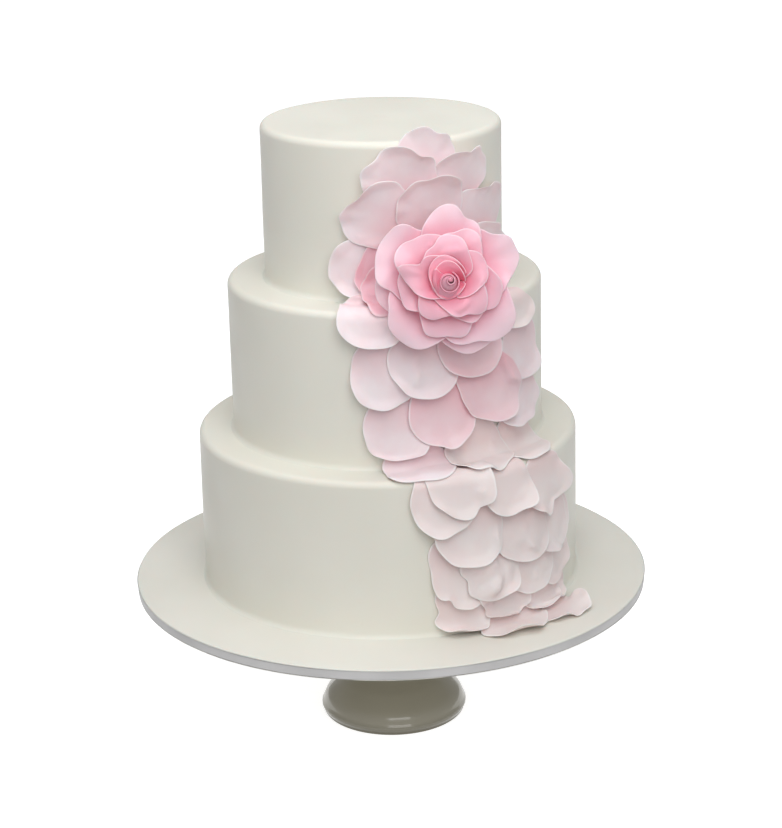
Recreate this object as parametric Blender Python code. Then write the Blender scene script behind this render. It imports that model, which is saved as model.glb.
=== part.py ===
"""A three-tier wedding cake on its covered board and pedestal stand.

Three round tiers iced in white sugar paste stand on a round board with a ribbon
round its edge. A cascade of thin sugar petals runs down the front right, and one
large sugar rose sits in the step between the middle and the top tier.

Metres, +Z up. The origin is the middle of the stand's foot, on the table. The
camera side is -Y, and an angle round the cake is counted from there towards +X.
"""

import math

import bmesh
import bpy
import numpy as np
from mathutils import Matrix, Vector
from mathutils.bvhtree import BVHTree

MM = 0.001
GAP = 0.3 * MM

# Driving sizes
FOOT_RADIUS = 52 * MM
STAND_PLATE_RADIUS = 140 * MM
BOARD_RADIUS = 179.5 * MM
BOARD_THICK = 7.8 * MM
BOARD_TOP = 110.6 * MM
TIER_RADII = {"bottom": 131 * MM, "middle": 107 * MM, "top": 81 * MM}
TIER_TOPS = {"bottom": 109 * MM, "middle": 214.7 * MM, "top": 320 * MM}  # above the board's top
SHOULDER = 5 * MM
ROUND_SEGMENTS = 56

# Petals: paste rolled out, cut round and thinned at its edge
PETAL_THICK = 1.2 * MM
PETAL_SECTORS = 13
PETAL_SHARES = (0.6, 1.0)  # where its two rings lie, from its middle to its edge
PETAL_CLEARANCE = 0.75 * MM


def material(name, colour, roughness, metallic=0.0):
    made = bpy.data.materials.new(name)
    made.use_nodes = True
    shader = made.node_tree.nodes["Principled BSDF"]
    shader.inputs["Base Color"].default_value = (*colour, 1)
    shader.inputs["Roughness"].default_value = roughness
    shader.inputs["Metallic"].default_value = metallic
    made.diffuse_color = (*colour, 1)
    return made


def add_object(name, mesh, finish):
    mesh.shade_smooth()
    mesh.set_sharp_from_angle(angle=math.radians(40))
    mesh.materials.append(finish)
    made = bpy.data.objects.new(name, mesh)
    bpy.context.scene.collection.objects.link(made)
    return made


def arc(centre, radius, start, end, steps):
    """Points of a circle in the (radius, height) plane, from one angle to another in degrees."""
    angles = np.radians(np.linspace(start, end, steps + 1))
    return [(centre[0] + radius * math.cos(a), centre[1] + radius * math.sin(a)) for a in angles]


def turned(name, outline, finish, segments=ROUND_SEGMENTS, closed=False):
    """The outline, a list of (radius, height), spun round the Z axis."""
    shape = bmesh.new()
    chain = [shape.verts.new((r, 0, z)) for r, z in outline]
    ends = chain[1:] + chain[:1] if closed else chain[1:]
    edges = [shape.edges.new(pair) for pair in zip(chain, ends)]
    bmesh.ops.spin(
        shape, geom=chain + edges, cent=(0, 0, 0), axis=(0, 0, 1),
        angle=2 * math.pi, steps=segments, use_merge=True,
    )
    bmesh.ops.remove_doubles(shape, verts=shape.verts, dist=1e-6)
    bmesh.ops.recalc_face_normals(shape, faces=shape.faces)
    mesh = bpy.data.meshes.new(name)
    shape.to_mesh(mesh)
    shape.free()
    return add_object(name, mesh, finish)


def smooth_outline(points, steps):
    """A Catmull-Rom curve through the points, with this many spans between each two."""
    padded = np.array([points[0], *points, points[-1]], float)
    made = []
    for before, start, end, after in zip(padded, padded[1:], padded[2:], padded[3:]):
        for t in np.linspace(0, 1, steps, endpoint=False):
            made.append(tuple(0.5 * (
                2 * start + (end - before) * t
                + (2 * before - 5 * start + 4 * end - after) * t**2
                + (3 * start - before - 3 * end + after) * t**3
            )))
    return made + [tuple(padded[-1])]


def make_stand(finish):
    """One turned piece of glazed ceramic: a flat plate, a waist and a flared foot."""
    plate_top = BOARD_TOP - BOARD_THICK - GAP
    plate_edge = STAND_PLATE_RADIUS
    rim = 4 * MM
    top = [(0, plate_top), (plate_edge - rim, plate_top)]
    edge = arc((plate_edge - rim, plate_top - rim), rim, 60, -60, 4)
    under = smooth_outline([
        (plate_edge - 12 * MM, plate_top - 10 * MM),
        (60 * MM, plate_top - 17 * MM),
        (24 * MM, plate_top - 30 * MM),
        (19 * MM, plate_top - 48 * MM),
        (26 * MM, 33 * MM),
        (37.5 * MM, 23.5 * MM),
        (47.5 * MM, 14.5 * MM),
        (50.8 * MM, 8 * MM),
    ], 2)
    foot = [(FOOT_RADIUS, 5 * MM), (FOOT_RADIUS, 2.5 * MM), (FOOT_RADIUS - 1.5 * MM, 0), (0, 0)]
    return turned("stand", top + edge + under + foot, finish, segments=36)


RIBBON_TOP = BOARD_TOP - 1.3 * MM
RIBBON_HEIGHT = 5.8 * MM
RIBBON_THICK = 0.5 * MM


def make_board(finish):
    """A thick card drum under paste, with a shallow groove round its edge where the ribbon lies."""
    groove = BOARD_RADIUS - 0.1 * MM - RIBBON_THICK - GAP
    floor = BOARD_TOP - BOARD_THICK
    lip = 1.0 * MM
    outline = [
        (0, floor),
        (BOARD_RADIUS - 0.4 * MM, floor),
        (BOARD_RADIUS - 0.2 * MM, RIBBON_TOP - RIBBON_HEIGHT - GAP),
        (groove, RIBBON_TOP - RIBBON_HEIGHT - GAP),
        (groove, RIBBON_TOP + GAP),
        (BOARD_RADIUS - 0.1 * MM, RIBBON_TOP + GAP),
    ]
    outline += arc((BOARD_RADIUS - lip, BOARD_TOP - lip), lip, 15, 90, 2)
    outline += [(0, BOARD_TOP)]
    return turned("board", outline, finish)


def make_ribbon(finish):
    outer = BOARD_RADIUS - 0.1 * MM
    inner = outer - RIBBON_THICK
    low = RIBBON_TOP - RIBBON_HEIGHT
    outline = [(inner, low), (outer, low), (outer, RIBBON_TOP), (inner, RIBBON_TOP)]
    return turned("ribbon", outline, finish, closed=True)


def make_tier(name, low, high, radius, finish):
    """A round cake under one sheet of paste: straight side, soft shoulder, flat top."""
    foot = 1.5 * MM
    outline = [(0, low), (radius - foot, low), (radius, low + foot)]
    outline += arc((radius - SHOULDER, high - SHOULDER), SHOULDER, 0, 90, 3)
    outline += [(0, high)]
    return turned(name, outline, finish)


# The skin that petals lie on: board, side, ledge, side, ledge, side, as corners of an outline in
# millimetres, and the distance from each corner at which a petal starts to bend round it
R_BOTTOM, R_MIDDLE, R_TOP = (TIER_RADII[tier] / MM for tier in ("bottom", "middle", "top"))
Z_BOTTOM, Z_MIDDLE, Z_TOP = (TIER_TOPS[tier] / MM for tier in ("bottom", "middle", "top"))
ABOVE_TOP = 40
SKIN_CORNERS = np.array([
    (191, 0), (R_BOTTOM, 0), (R_BOTTOM, Z_BOTTOM), (R_MIDDLE, Z_BOTTOM),
    (R_MIDDLE, Z_MIDDLE), (R_TOP, Z_MIDDLE), (R_TOP, Z_TOP + ABOVE_TOP),
], float)
HOLLOW_BEND, WIDE_HOLLOW_BEND, EDGE_BEND = 12, 18, 5.5
SKIN_BENDS = (0, HOLLOW_BEND, EDGE_BEND, HOLLOW_BEND, EDGE_BEND, WIDE_HOLLOW_BEND, 0)
SKIN_RUNS = np.concatenate([[0], np.cumsum(np.linalg.norm(np.diff(SKIN_CORNERS, axis=0), axis=1))])
TIER_FOOT = {"bottom": SKIN_RUNS[1], "middle": SKIN_RUNS[3], "top": SKIN_RUNS[5]}


def skin(run):
    """The (radius, height) of the skin at this run, and its outward direction, in millimetres."""
    run = min(max(run, 0.0), SKIN_RUNS[-1] - 1e-6)
    for k in range(1, len(SKIN_CORNERS) - 1):
        bend = SKIN_BENDS[k]
        if abs(run - SKIN_RUNS[k]) < bend:
            before = SKIN_CORNERS[k] - SKIN_CORNERS[k - 1]
            after = SKIN_CORNERS[k + 1] - SKIN_CORNERS[k]
            before /= np.linalg.norm(before)
            after /= np.linalg.norm(after)
            turn = (run - SKIN_RUNS[k] + bend) / (2 * bend) * math.pi / 2
            start = SKIN_CORNERS[k] - bend * before
            point = start + bend * (math.sin(turn) * before + (1 - math.cos(turn)) * after)
            along = math.cos(turn) * before + math.sin(turn) * after
            return point, np.array([along[1], -along[0]])
    k = min(int(np.searchsorted(SKIN_RUNS, run, side="right")) - 1, len(SKIN_CORNERS) - 2)
    along = SKIN_CORNERS[k + 1] - SKIN_CORNERS[k]
    along /= np.linalg.norm(along)
    return SKIN_CORNERS[k] + along * (run - SKIN_RUNS[k]), np.array([along[1], -along[0]])


def on_skin(angle, run, height):
    """A point this far off the skin, and the direction that leads away from it there, in metres."""
    (radius, level), (out, up) = skin(run)
    sideways = Vector((math.sin(angle), -math.cos(angle), 0))
    away = sideways * out + Vector((0, 0, up))
    point = sideways * (radius + height * out) + Vector((0, 0, level + height * up))
    return point * MM + Vector((0, 0, BOARD_TOP)), away


# Each petal, in the order they are laid: name, tier, angle round the cake in degrees, run of its
# middle up from the tier's foot in mm, turn in degrees (0 hangs straight down, 180 stands up,
# positive swings its free end to the right), width, length, lift of its free edge and depth of its
# waves in mm, and where on its edge, in degrees from the free end, the waves start
PETALS = (
    ("board_2", "bottom", 50.9, -16.4, 12, 46, 42, 2, 2.5, 200),
    ("board_1", "bottom", 33.2, -9.5, 18, 50, 46, 2, 2.0, 60),
    ("bottom_16", "bottom", 61.8, 14.7, 0, 45, 46, 3, 1.5, 10),
    ("bottom_14", "bottom", 49.7, 15, 3, 42, 47, 4, 1.5, 140),
    ("bottom_12", "bottom", 58.6, 34.9, -8, 44, 44, 5, 1.5, 80),
    ("bottom_15", "bottom", 20.8, 18.5, 12, 40, 48, 5, 2.5, 30),
    ("bottom_9", "bottom", 20.3, 44.7, 28, 42, 52, 6, 2.5, 190),
    ("bottom_13", "bottom", 33.5, 21.4, 8, 44, 46, 5, 2.0, 100),
    ("bottom_11", "bottom", 44.6, 39.2, -4, 44, 45, 5, 1.5, 250),
    ("bottom_10", "bottom", 29.4, 49.1, 12, 46, 50, 6, 1.5, 320),
    ("bottom_8", "bottom", 60.7, 63.2, -1, 45, 46, 5, 2.0, 40),
    ("bottom_7", "bottom", 51.7, 62.9, -8, 46, 46, 5, 1.5, 150),
    ("bottom_6", "bottom", 40.6, 64.7, -8, 46, 44, 6, 1.0, 220),
    ("bottom_5", "bottom", 23.4, 72.7, -8, 48, 48, 7, 1.2, 300),
    ("bottom_4", "bottom", 14.9, 98.9, 11, 42, 50, 6, 1.5, 20),
    ("bottom_3", "bottom", 52, 90, 1, 52, 46, 6, 2.5, 110),
    ("bottom_2", "bottom", 35.4, 100.8, 1, 43, 46, 7, 2.0, 260),
    ("bottom_1", "bottom", 19.2, 108, 15, 44, 51, 7, 2.0, 170),
    ("middle_12", "middle", 53.4, 4.9, 20, 50, 51, 3, 2.5, 20),
    ("middle_8", "middle", 10.3, -2.5, 0, 50, 44, 2, 1.0, 0),
    ("middle_7", "middle", 32, 7.1, -11, 49, 52, 2, 1.2, 90),
    ("middle_5", "middle", 3, 28, 16, 44, 50, 5, 1.2, 240),
    ("middle_6", "middle", 19.5, 41, 4, 46, 50, 6, 1.5, 310),
    ("middle_11", "middle", 53.7, 38.5, 1, 46, 44, 5, 2.0, 60),
    ("middle_1", "middle", -1, 68.4, 12, 42, 50, 5, 2.0, 130),
    ("middle_10", "middle", 55.2, 69, -5, 44, 45, 6, 1.2, 200),
    ("middle_4", "middle", 37.5, 52.9, -11, 50, 48, 7, 1.0, 330),
    ("middle_2", "middle", 13.2, 75.5, -10, 46, 48, 7, 1.0, 30),
    ("middle_3", "middle", 30, 83.2, -11, 46, 46, 6, 1.0, 100),
    ("middle_9", "middle", 49.6, 95.2, -1, 46, 40, 5, 1.5, 270),
    ("top_8", "top", -5.2, 19.2, -67, 51, 48, 4, 1.5, 60),
    ("middle_0", "middle", -4.2, 110.7, -13, 44, 49, 7, 1.5, 150),
    ("top_9", "top", -0.2, 15.7, -74, 45, 34, 4, 1.0, 10),
    ("top_10", "top", -0.5, -1.3, -64, 48, 34, 3, 1.0, 240),
    ("top_1", "top", 21, 90.9, 178, 42, 48, 1, 1.5, 40),
    ("top_3", "top", 38.5, 76.6, 171, 44, 43, 6, 3.0, 290),
    ("top_2", "top", 9.1, 79, 191, 47, 51, 7, 3.0, 120),
    ("top_6", "top", 50.6, 52, 165, 48, 42, 6, 3.0, 20),
    ("top_7", "top", 54.4, 22.1, 130, 49, 47, 6, 1.5, 220),
    ("top_4", "top", -0.7, 58, 220, 46, 44, 8, 2.5, 350),
    ("top_5", "top", 22.3, 60.8, 187, 47, 46, 8, 1.5, 80),
)
PETAL_BASE_NARROWING = 0.12
WAVES_ROUND_EDGE = 3
LIFT_CURVE = 1.8  # how late along its length a petal leaves the cake
RIM_LIFT = 0.25  # how much of the lift the whole thinned edge has


def petal_point(row, share, angle):
    """One point of a petal laid flat: across and along its own middle line, and its own height."""
    wide, long, lift, wave, start = row[5:]
    across = wide / 2 * share * math.sin(angle) * (1 + PETAL_BASE_NARROWING * math.cos(angle))
    along = long / 2 * share * math.cos(angle)
    free = along / long + 0.5
    ripple = wave * share**3 * math.cos(WAVES_ROUND_EDGE * angle + math.radians(start)) * free
    return across, along, lift * free**LIFT_CURVE + RIM_LIFT * lift * share**4 + ripple


def petal_places(row, shares, sectors):
    """Where each vertex of a petal lies: its angle round the cake, its run up the skin, its height."""
    tier, angle, along_skin, turn = row[1:5]
    middle = TIER_FOOT[tier] + along_skin
    radius = skin(middle)[0][0]
    swing = math.radians(turn)
    flat = [petal_point(row, 0, 0)]
    for share in shares:
        flat += [petal_point(row, share, 2 * math.pi * k / sectors) for k in range(sectors)]
    places = []
    for across, along, height in flat:
        right = across * math.cos(swing) + along * math.sin(swing)
        up = across * math.sin(swing) - along * math.cos(swing)
        places.append((math.radians(angle) + right / radius, middle + up, max(height, 0.0)))
    return places


def disc_faces(rings, sectors):
    faces = [(0, 1 + k, 1 + (k + 1) % sectors) for k in range(sectors)]
    for ring in range(rings - 1):
        inner = 1 + ring * sectors
        outer = inner + sectors
        for k in range(sectors):
            after = (k + 1) % sectors
            faces.append((inner + k, outer + k, outer + after))
            faces.append((inner + k, outer + after, inner + after))
    return faces


def triangle_samples(steps):
    """Weights of points spread evenly over a triangle, its corners and edges included."""
    return [
        (i / steps, j / steps, (steps - i - j) / steps)
        for i in range(steps + 1) for j in range(steps + 1 - i)
    ]


SAMPLES = triangle_samples(8)
LOOK_FROM = 60 * MM
LOOK_PAST = 20 * MM
LIFTING_ROUNDS = 12


def lift_clear(points, away, faces, below):
    """Raises the underside's vertices until each face passes over all that lies beneath it."""
    for _ in range(LIFTING_ROUNDS):
        raised = [0.0] * len(points)
        for face in faces:
            for weights in SAMPLES:
                point = sum((points[v] * w for v, w in zip(face, weights)), Vector())
                out = sum((away[v] * w for v, w in zip(face, weights)), Vector()).normalized()
                hit = below.ray_cast(point + out * LOOK_FROM, -out, LOOK_FROM + LOOK_PAST)[3]
                if hit is None:
                    continue
                short = LOOK_FROM - hit + PETAL_CLEARANCE
                if short <= 0:
                    continue
                total = sum(w * w for w in weights)
                for v, w in zip(face, weights):
                    raised[v] = max(raised[v], short * w / total)
        if max(raised) < 0.01 * MM:
            return
        for v, rise in enumerate(raised):
            points[v] = points[v] + away[v] * rise


def lay_petal(row, below, finish):
    """A thin wavy solid whose two faces are split into triangles alike."""
    places = petal_places(row, PETAL_SHARES, PETAL_SECTORS)
    laid = [on_skin(*place) for place in places]
    points = [point for point, _ in laid]
    away = [out for _, out in laid]
    under = disc_faces(len(PETAL_SHARES), PETAL_SECTORS)
    lift_clear(points, away, under, below)
    upper = [point + out * PETAL_THICK for point, out in zip(points, away)]
    count = len(points)
    rim = count - PETAL_SECTORS
    faces = list(under)
    faces += [(c + count, b + count, a + count) for a, b, c in under]
    for k in range(PETAL_SECTORS):
        a, b = rim + k, rim + (k + 1) % PETAL_SECTORS
        faces += [(b, a, a + count), (b, a + count, b + count)]
    mesh = bpy.data.meshes.new("petal_" + row[0])
    mesh.from_pydata(points + upper, [], faces)
    shape = bmesh.new()
    shape.from_mesh(mesh)
    bmesh.ops.recalc_face_normals(shape, faces=shape.faces)
    shape.to_mesh(mesh)
    shape.free()
    return add_object("petal_" + row[0], mesh, finish)


def tree_of(objects):
    """All these objects' triangles, ready to be looked at along a line."""
    points = []
    faces = []
    for made in objects:
        first = len(points)
        points += [made.matrix_world @ v.co for v in made.data.vertices]
        faces += [tuple(first + v for v in face.vertices) for face in made.data.polygons]
    return BVHTree.FromPolygons(points, faces)


# The rose: a bud and rings of petals round it, facing out and a little up from the step
ROSE_ANGLE, ROSE_OUT, ROSE_RISE = 20.8, 111, 235.4  # place of the middle of its back: degrees, mm, mm
ROSE_FACES, ROSE_TILT = 2.5, 15.2  # where it looks: degrees round the cake, degrees up
ROSE_PETAL_THICK = 1.6 * MM
ROSE_SECTORS = 10
ROSE_SHARES = (0.55, 1.0)
ROSE_WIDEST, ROSE_ROLL, ROSE_CUP = 50, 2.0, 2.5
ROSE_BASE_NARROWING = 0.2
ROSE_OPENING = 2.2  # how early along its length a rose petal turns forward
INNER_STEEPNESS, STEEPNESS_LOST = 1.7, 0.7  # inner petals stand up, and the widest lie open
ROLL_STARTS = 0.75
SEAT_RADIUS = 16  # the knob of paste that the rose is pressed onto, in the corner of the step
ROSE_HEART = ((0, 0), (13, 0), (15, 6), (12, 17), (9, 28), (6, 35), (0, 36))

# Each rose petal from the back to the front: clock direction of its middle line in degrees, how far
# its free edge reaches from the rose's axis, its width, how far forward its root and its free edge
# stand, the radius that its width is wrapped round, and the depth of its waves, in mm
ROSE_PETALS = (
    (32, 44, 44, 1, 7, 60, 1.5),
    (-100, 45, 44, 1, 7, 60, 1.5),
    (152, 49, 46, 1, 8, 60, 1.5),
    (-138, 48, 50, 2, 13, 50, 1.5),
    (138, 49, 52, 2, 13, 50, 2.0),
    (66, 46, 50, 3, 14, 45, 2.0),
    (-64, 48, 50, 3, 16, 50, 1.5),
    (5, 47, 40, 4, 17, 40, 1.5),
    (183, 38, 38, 4, 20, 40, 1.0),
    (-102, 33, 38, 5, 23, 30, 1.0),
    (118, 35, 42, 5, 23, 30, 1.5),
    (22, 33, 36, 6, 26, 30, 1.0),
    (-49, 37, 40, 6, 26, 30, 1.0),
    (-153, 27, 34, 8, 30, 20, 0.8),
    (137, 28, 36, 8, 31, 20, 1.2),
    (65, 25, 34, 10, 33, 18, 0.5),
    (-6, 28, 34, 10, 33, 20, 0.5),
    (-81, 29, 30, 11, 33, 20, 1.5),
    (-150, 14, 26, 14, 35, 12, 0.3),
    (-46, 17, 26, 14, 36, 13, 0.3),
    (14, 13, 24, 16, 37, 12, 0.3),
)


def rose_frame():
    """Turns the rose's own space, in mm with its face towards +Z, into its place on the cake."""
    place = math.radians(ROSE_ANGLE)
    origin = Vector((ROSE_OUT * math.sin(place), -ROSE_OUT * math.cos(place), ROSE_RISE)) * MM
    origin.z += BOARD_TOP
    stand_up = Matrix.Rotation(math.radians(90 - ROSE_TILT), 4, "X")
    face = Matrix.Rotation(math.radians(ROSE_FACES), 4, "Z")
    return Matrix.Translation(origin) @ face @ stand_up @ Matrix.Scale(MM, 4)


def rose_petal_point(row, share, angle):
    """One point of a petal that rises from the rose's heart, opens outwards and rolls back a little."""
    clock, reach, wide, root, rise, wrap, wave = row
    across = wide / 2 * share * math.sin(angle) * (1 + ROSE_BASE_NARROWING * math.cos(angle))
    free = 0.5 + 0.5 * share * math.cos(angle)
    steepness = INNER_STEEPNESS - STEEPNESS_LOST * reach / ROSE_WIDEST
    out = reach * free**steepness - wrap * (1 - math.cos(across / wrap))
    side = wrap * math.sin(across / wrap)
    roll = ROSE_ROLL * max(0.0, (free - ROLL_STARTS) / (1 - ROLL_STARTS)) ** 2
    cup = ROSE_CUP * (2 * across / wide) ** 2 * free
    ripple = wave * share**3 * math.cos(WAVES_ROUND_EDGE * angle + math.radians(clock)) * free
    forward = root + (rise - root) * (1 - (1 - free) ** ROSE_OPENING) - roll + cup + ripple
    turn = math.radians(clock)
    return (
        out * math.sin(turn) + side * math.cos(turn),
        out * math.cos(turn) - side * math.sin(turn),
        forward,
    )


def rose_petal(row, placed):
    points = [rose_petal_point(row, 0, 0)]
    for share in ROSE_SHARES:
        points += [
            rose_petal_point(row, share, 2 * math.pi * k / ROSE_SECTORS) for k in range(ROSE_SECTORS)
        ]
    mesh = bpy.data.meshes.new("rose petal")
    mesh.from_pydata(points, [], disc_faces(len(ROSE_SHARES), ROSE_SECTORS))
    mesh.transform(placed)
    made = bpy.data.objects.new("rose petal", mesh)
    sheet = made.modifiers.new("thickness", "SOLIDIFY")
    sheet.thickness = ROSE_PETAL_THICK
    sheet.offset = 0
    return made


def rose_seat():
    """A ball that just clears the ledge below it and the wall behind it."""
    out = R_TOP + SEAT_RADIUS + 2 * GAP / MM
    rise = Z_MIDDLE + SEAT_RADIUS + 2 * GAP / MM
    place = math.radians(ROSE_ANGLE)
    middle = Vector((out * math.sin(place), -out * math.cos(place), rise)) * MM
    middle.z += BOARD_TOP
    shape = bmesh.new()
    bmesh.ops.create_icosphere(
        shape, subdivisions=2, radius=SEAT_RADIUS * MM, matrix=Matrix.Translation(middle)
    )
    mesh = bpy.data.meshes.new("rose seat")
    shape.to_mesh(mesh)
    shape.free()
    return bpy.data.objects.new("rose seat", mesh)


def keep_outer_shell(mesh):
    """Fills the small hollows that the union sealed in, by dropping every shell but the largest."""
    shape = bmesh.new()
    shape.from_mesh(mesh)
    shells = []
    left = set(shape.faces)
    while left:
        reached = [left.pop()]
        for face in reached:
            for edge in face.edges:
                for other in edge.link_faces:
                    if other in left:
                        left.remove(other)
                        reached.append(other)
        shells.append(reached)
    shells.sort(key=len)
    for shell in shells[:-1]:
        bmesh.ops.delete(shape, geom=shell, context="FACES")
    shape.to_mesh(mesh)
    shape.free()


def make_rose(finish):
    """A bud on a knob of paste that sits in the step, with its petals fused on by one union."""
    placed = rose_frame()
    rose = turned("rose", ROSE_HEART, finish, segments=16)
    rose.data.transform(placed)
    petals = bpy.data.collections.new("rose petals")
    bpy.context.scene.collection.children.link(petals)
    for row in ROSE_PETALS:
        petals.objects.link(rose_petal(row, placed))
    petals.objects.link(rose_seat())
    join = rose.modifiers.new("union", "BOOLEAN")
    join.operation = "UNION"
    join.solver = "EXACT"
    join.operand_type = "COLLECTION"
    join.collection = petals
    bpy.context.view_layer.update()
    fused = bpy.data.meshes.new_from_object(rose.evaluated_get(bpy.context.evaluated_depsgraph_get()))
    rose.modifiers.remove(join)
    keep_outer_shell(fused)
    rose.data = fused
    for petal in list(petals.objects):
        bpy.data.objects.remove(petal)
    bpy.data.collections.remove(petals)
    return rose


def main():
    for old in list(bpy.data.objects):
        bpy.data.objects.remove(old)
    icing = material("white sugar paste", (0.80, 0.79, 0.74), 0.55)
    ceramic = material("glazed ceramic", (0.62, 0.61, 0.54), 0.2)
    satin = material("satin ribbon", (0.66, 0.67, 0.72), 0.35)
    blush = material("blush petal paste", (0.84, 0.68, 0.68), 0.5)
    pink = material("pink rose paste", (0.85, 0.42, 0.52), 0.5)
    make_stand(ceramic)
    board = make_board(icing)
    make_ribbon(satin)
    laid = [board]
    low = BOARD_TOP
    for tier, radius in TIER_RADII.items():
        high = BOARD_TOP + TIER_TOPS[tier]
        laid.append(make_tier("tier_" + tier, low + GAP, high, radius, icing))
        low = high
    for row in PETALS:
        laid.append(lay_petal(row, tree_of(laid), blush))
    make_rose(pink)


main()
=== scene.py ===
# %% [markdown]
# # A wedding cake with a cascade of sugar petals
# The real thing is three round cakes under smooth white sugar paste, stacked on a covered board
# that stands on a small pedestal. Round petals of blush paste run down its front, and one large
# sugar rose sits in the step between the two upper cakes. A solid model already fixes every size
# and place. This lesson dresses it: it opens that model, sets up the camera and the light, and
# then makes each piece again with the surface that the real one shows.

# %% Open the solid model
import math

import bpy
import numpy as np
from mathutils import Matrix, Vector, noise
from mathutils.bvhtree import BVHTree


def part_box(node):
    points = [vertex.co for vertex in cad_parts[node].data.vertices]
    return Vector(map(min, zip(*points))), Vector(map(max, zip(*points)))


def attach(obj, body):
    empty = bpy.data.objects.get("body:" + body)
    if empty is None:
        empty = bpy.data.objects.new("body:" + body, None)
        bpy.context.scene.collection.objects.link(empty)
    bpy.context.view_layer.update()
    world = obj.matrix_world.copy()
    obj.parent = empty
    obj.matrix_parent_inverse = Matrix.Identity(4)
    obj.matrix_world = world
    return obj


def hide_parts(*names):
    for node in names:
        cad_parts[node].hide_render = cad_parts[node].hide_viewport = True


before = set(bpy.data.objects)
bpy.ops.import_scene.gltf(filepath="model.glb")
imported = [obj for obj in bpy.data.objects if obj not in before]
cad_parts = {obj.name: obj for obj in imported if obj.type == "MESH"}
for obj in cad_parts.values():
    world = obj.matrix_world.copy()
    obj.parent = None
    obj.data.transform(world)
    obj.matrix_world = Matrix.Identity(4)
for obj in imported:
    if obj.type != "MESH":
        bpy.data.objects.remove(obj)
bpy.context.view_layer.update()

# %% [markdown]
# Sizes are read from the solids, so that nothing here can drift away from them. A cake maker
# thinks in millimetres, and so does this script: points are made in millimetres and turned into
# metres when they become a mesh.

# %% Read the sizes
MM = 0.001
TIERS = ("bottom", "middle", "top")
board_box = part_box("board")
BOARD_TOP = board_box[1].z / MM
BOARD_LOW = board_box[0].z / MM
BOARD_RADIUS = board_box[1].x / MM
TIER_RADIUS = {tier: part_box("tier_" + tier)[1].x / MM for tier in TIERS}
TIER_LOW = {tier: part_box("tier_" + tier)[0].z / MM for tier in TIERS}
TIER_HIGH = {tier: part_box("tier_" + tier)[1].z / MM for tier in TIERS}
print("tiers", {tier: round(2 * TIER_RADIUS[tier]) for tier in TIERS}, "mm across")

# %% [markdown]
# The camera stands where the photographer stood: about 1.5 m in front of the cake and 0.6 m
# above its board, looking down at 18.6 degrees, with a slight lean. A camera could be aimed with
# a Track To constraint, but then the lean is lost, so its three axes are written out as a matrix.
# The lens of 99 mm goes with a sensor of 36 mm on the long side of the picture.

# %% Place the camera
CAMERA_PLACE = Vector((2.6, -1504.6, BOARD_TOP + 616.4)) * MM
CAMERA_DOWN, CAMERA_LEAN = math.radians(18.55), math.radians(-1.34)
LENS, SENSOR = 99.28, 36
CAKE_MIDDLE = Vector((0, 0, 0.3))


def put_in_scene(made):
    bpy.context.scene.collection.objects.link(made)


def camera_axes(down, lean):
    """The camera's right, up and backward directions, as the columns of a rotation."""
    forward = Vector((0, math.cos(down), -math.sin(down)))
    level = Vector((1, 0, 0))
    upright = level.cross(forward)
    right = level * math.cos(lean) + upright * math.sin(lean)
    up = upright * math.cos(lean) - level * math.sin(lean)
    return Matrix((right, up, -forward)).transposed().to_4x4()


camera_data = bpy.data.cameras.new("camera")
camera_data.lens = LENS
camera_data.sensor_width = SENSOR
camera_data.clip_end = 100
camera = bpy.data.objects.new("camera", camera_data)
camera.matrix_world = Matrix.Translation(CAMERA_PLACE) @ camera_axes(CAMERA_DOWN, CAMERA_LEAN)
put_in_scene(camera)
bpy.context.scene.camera = camera
print("camera", round((CAMERA_PLACE - CAKE_MIDDLE).length, 2), "m from the cake")

# %% [markdown]
# White icing shows its form only through soft shading, so the light is a studio's: one very large
# soft box hangs over the front of the cake, so that tops are bright and sides are a step darker,
# a smaller one stands high at the front right, and an even surround keeps the back open. Small
# lamps would throw hard edges that sugar paste never shows.

# %% Light the studio
SURROUND_STRENGTH = 0.36


def soft_box(name, place, size, power):
    lamp = bpy.data.lights.new(name, "AREA")
    lamp.shape = "SQUARE"
    lamp.size = size
    lamp.energy = power
    made = bpy.data.objects.new(name, lamp)
    made.location = place
    made.rotation_euler = (CAKE_MIDDLE - Vector(place)).to_track_quat("-Z", "Y").to_euler()
    put_in_scene(made)


soft_box("overhead light", (-0.1, -0.3, 1.75), size=1.5, power=14.2)
soft_box("front light", (0.2, -1.4, 1.2), size=1.1, power=12)
surround = bpy.data.worlds.new("surround")
surround.use_nodes = True
background = surround.node_tree.nodes["Background"]
background.inputs["Color"].default_value = (1, 1, 1, 1)
background.inputs["Strength"].default_value = SURROUND_STRENGTH
bpy.context.scene.world = surround
bpy.context.scene.view_settings.view_transform = "Standard"

# %% [markdown]
# Every finish is a Principled shader fed by a few texture nodes. These helpers keep the cells
# that follow short: one makes a material, one adds a node with its values, one joins two sockets,
# and one adds a noise, the source of everything uneven. The noise uses the object's own space, so
# that it lies still on the cake.

# %% Helpers for finishes
def new_finish(name, roughness, specular=0.4, coat=0.0, scatter=0.0):
    made = bpy.data.materials.new(name)
    made.use_nodes = True
    shader = made.node_tree.nodes["Principled BSDF"]
    shader.inputs["Roughness"].default_value = roughness
    shader.inputs["Specular IOR Level"].default_value = specular
    shader.inputs["Coat Weight"].default_value = coat
    shader.inputs["Coat Roughness"].default_value = 0.08
    shader.inputs["Subsurface Weight"].default_value = scatter
    shader.inputs["Subsurface Radius"].default_value = (1.0, 0.55, 0.45)
    shader.inputs["Subsurface Scale"].default_value = 0.003
    return made, shader


def add_node(finish, kind, **values):
    made = finish.node_tree.nodes.new(kind)
    for name, value in values.items():
        if name in made.inputs:
            made.inputs[name].default_value = value
        else:
            setattr(made, name, value)
    return made


def join(finish, start, end):
    finish.node_tree.links.new(start, end)


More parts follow.
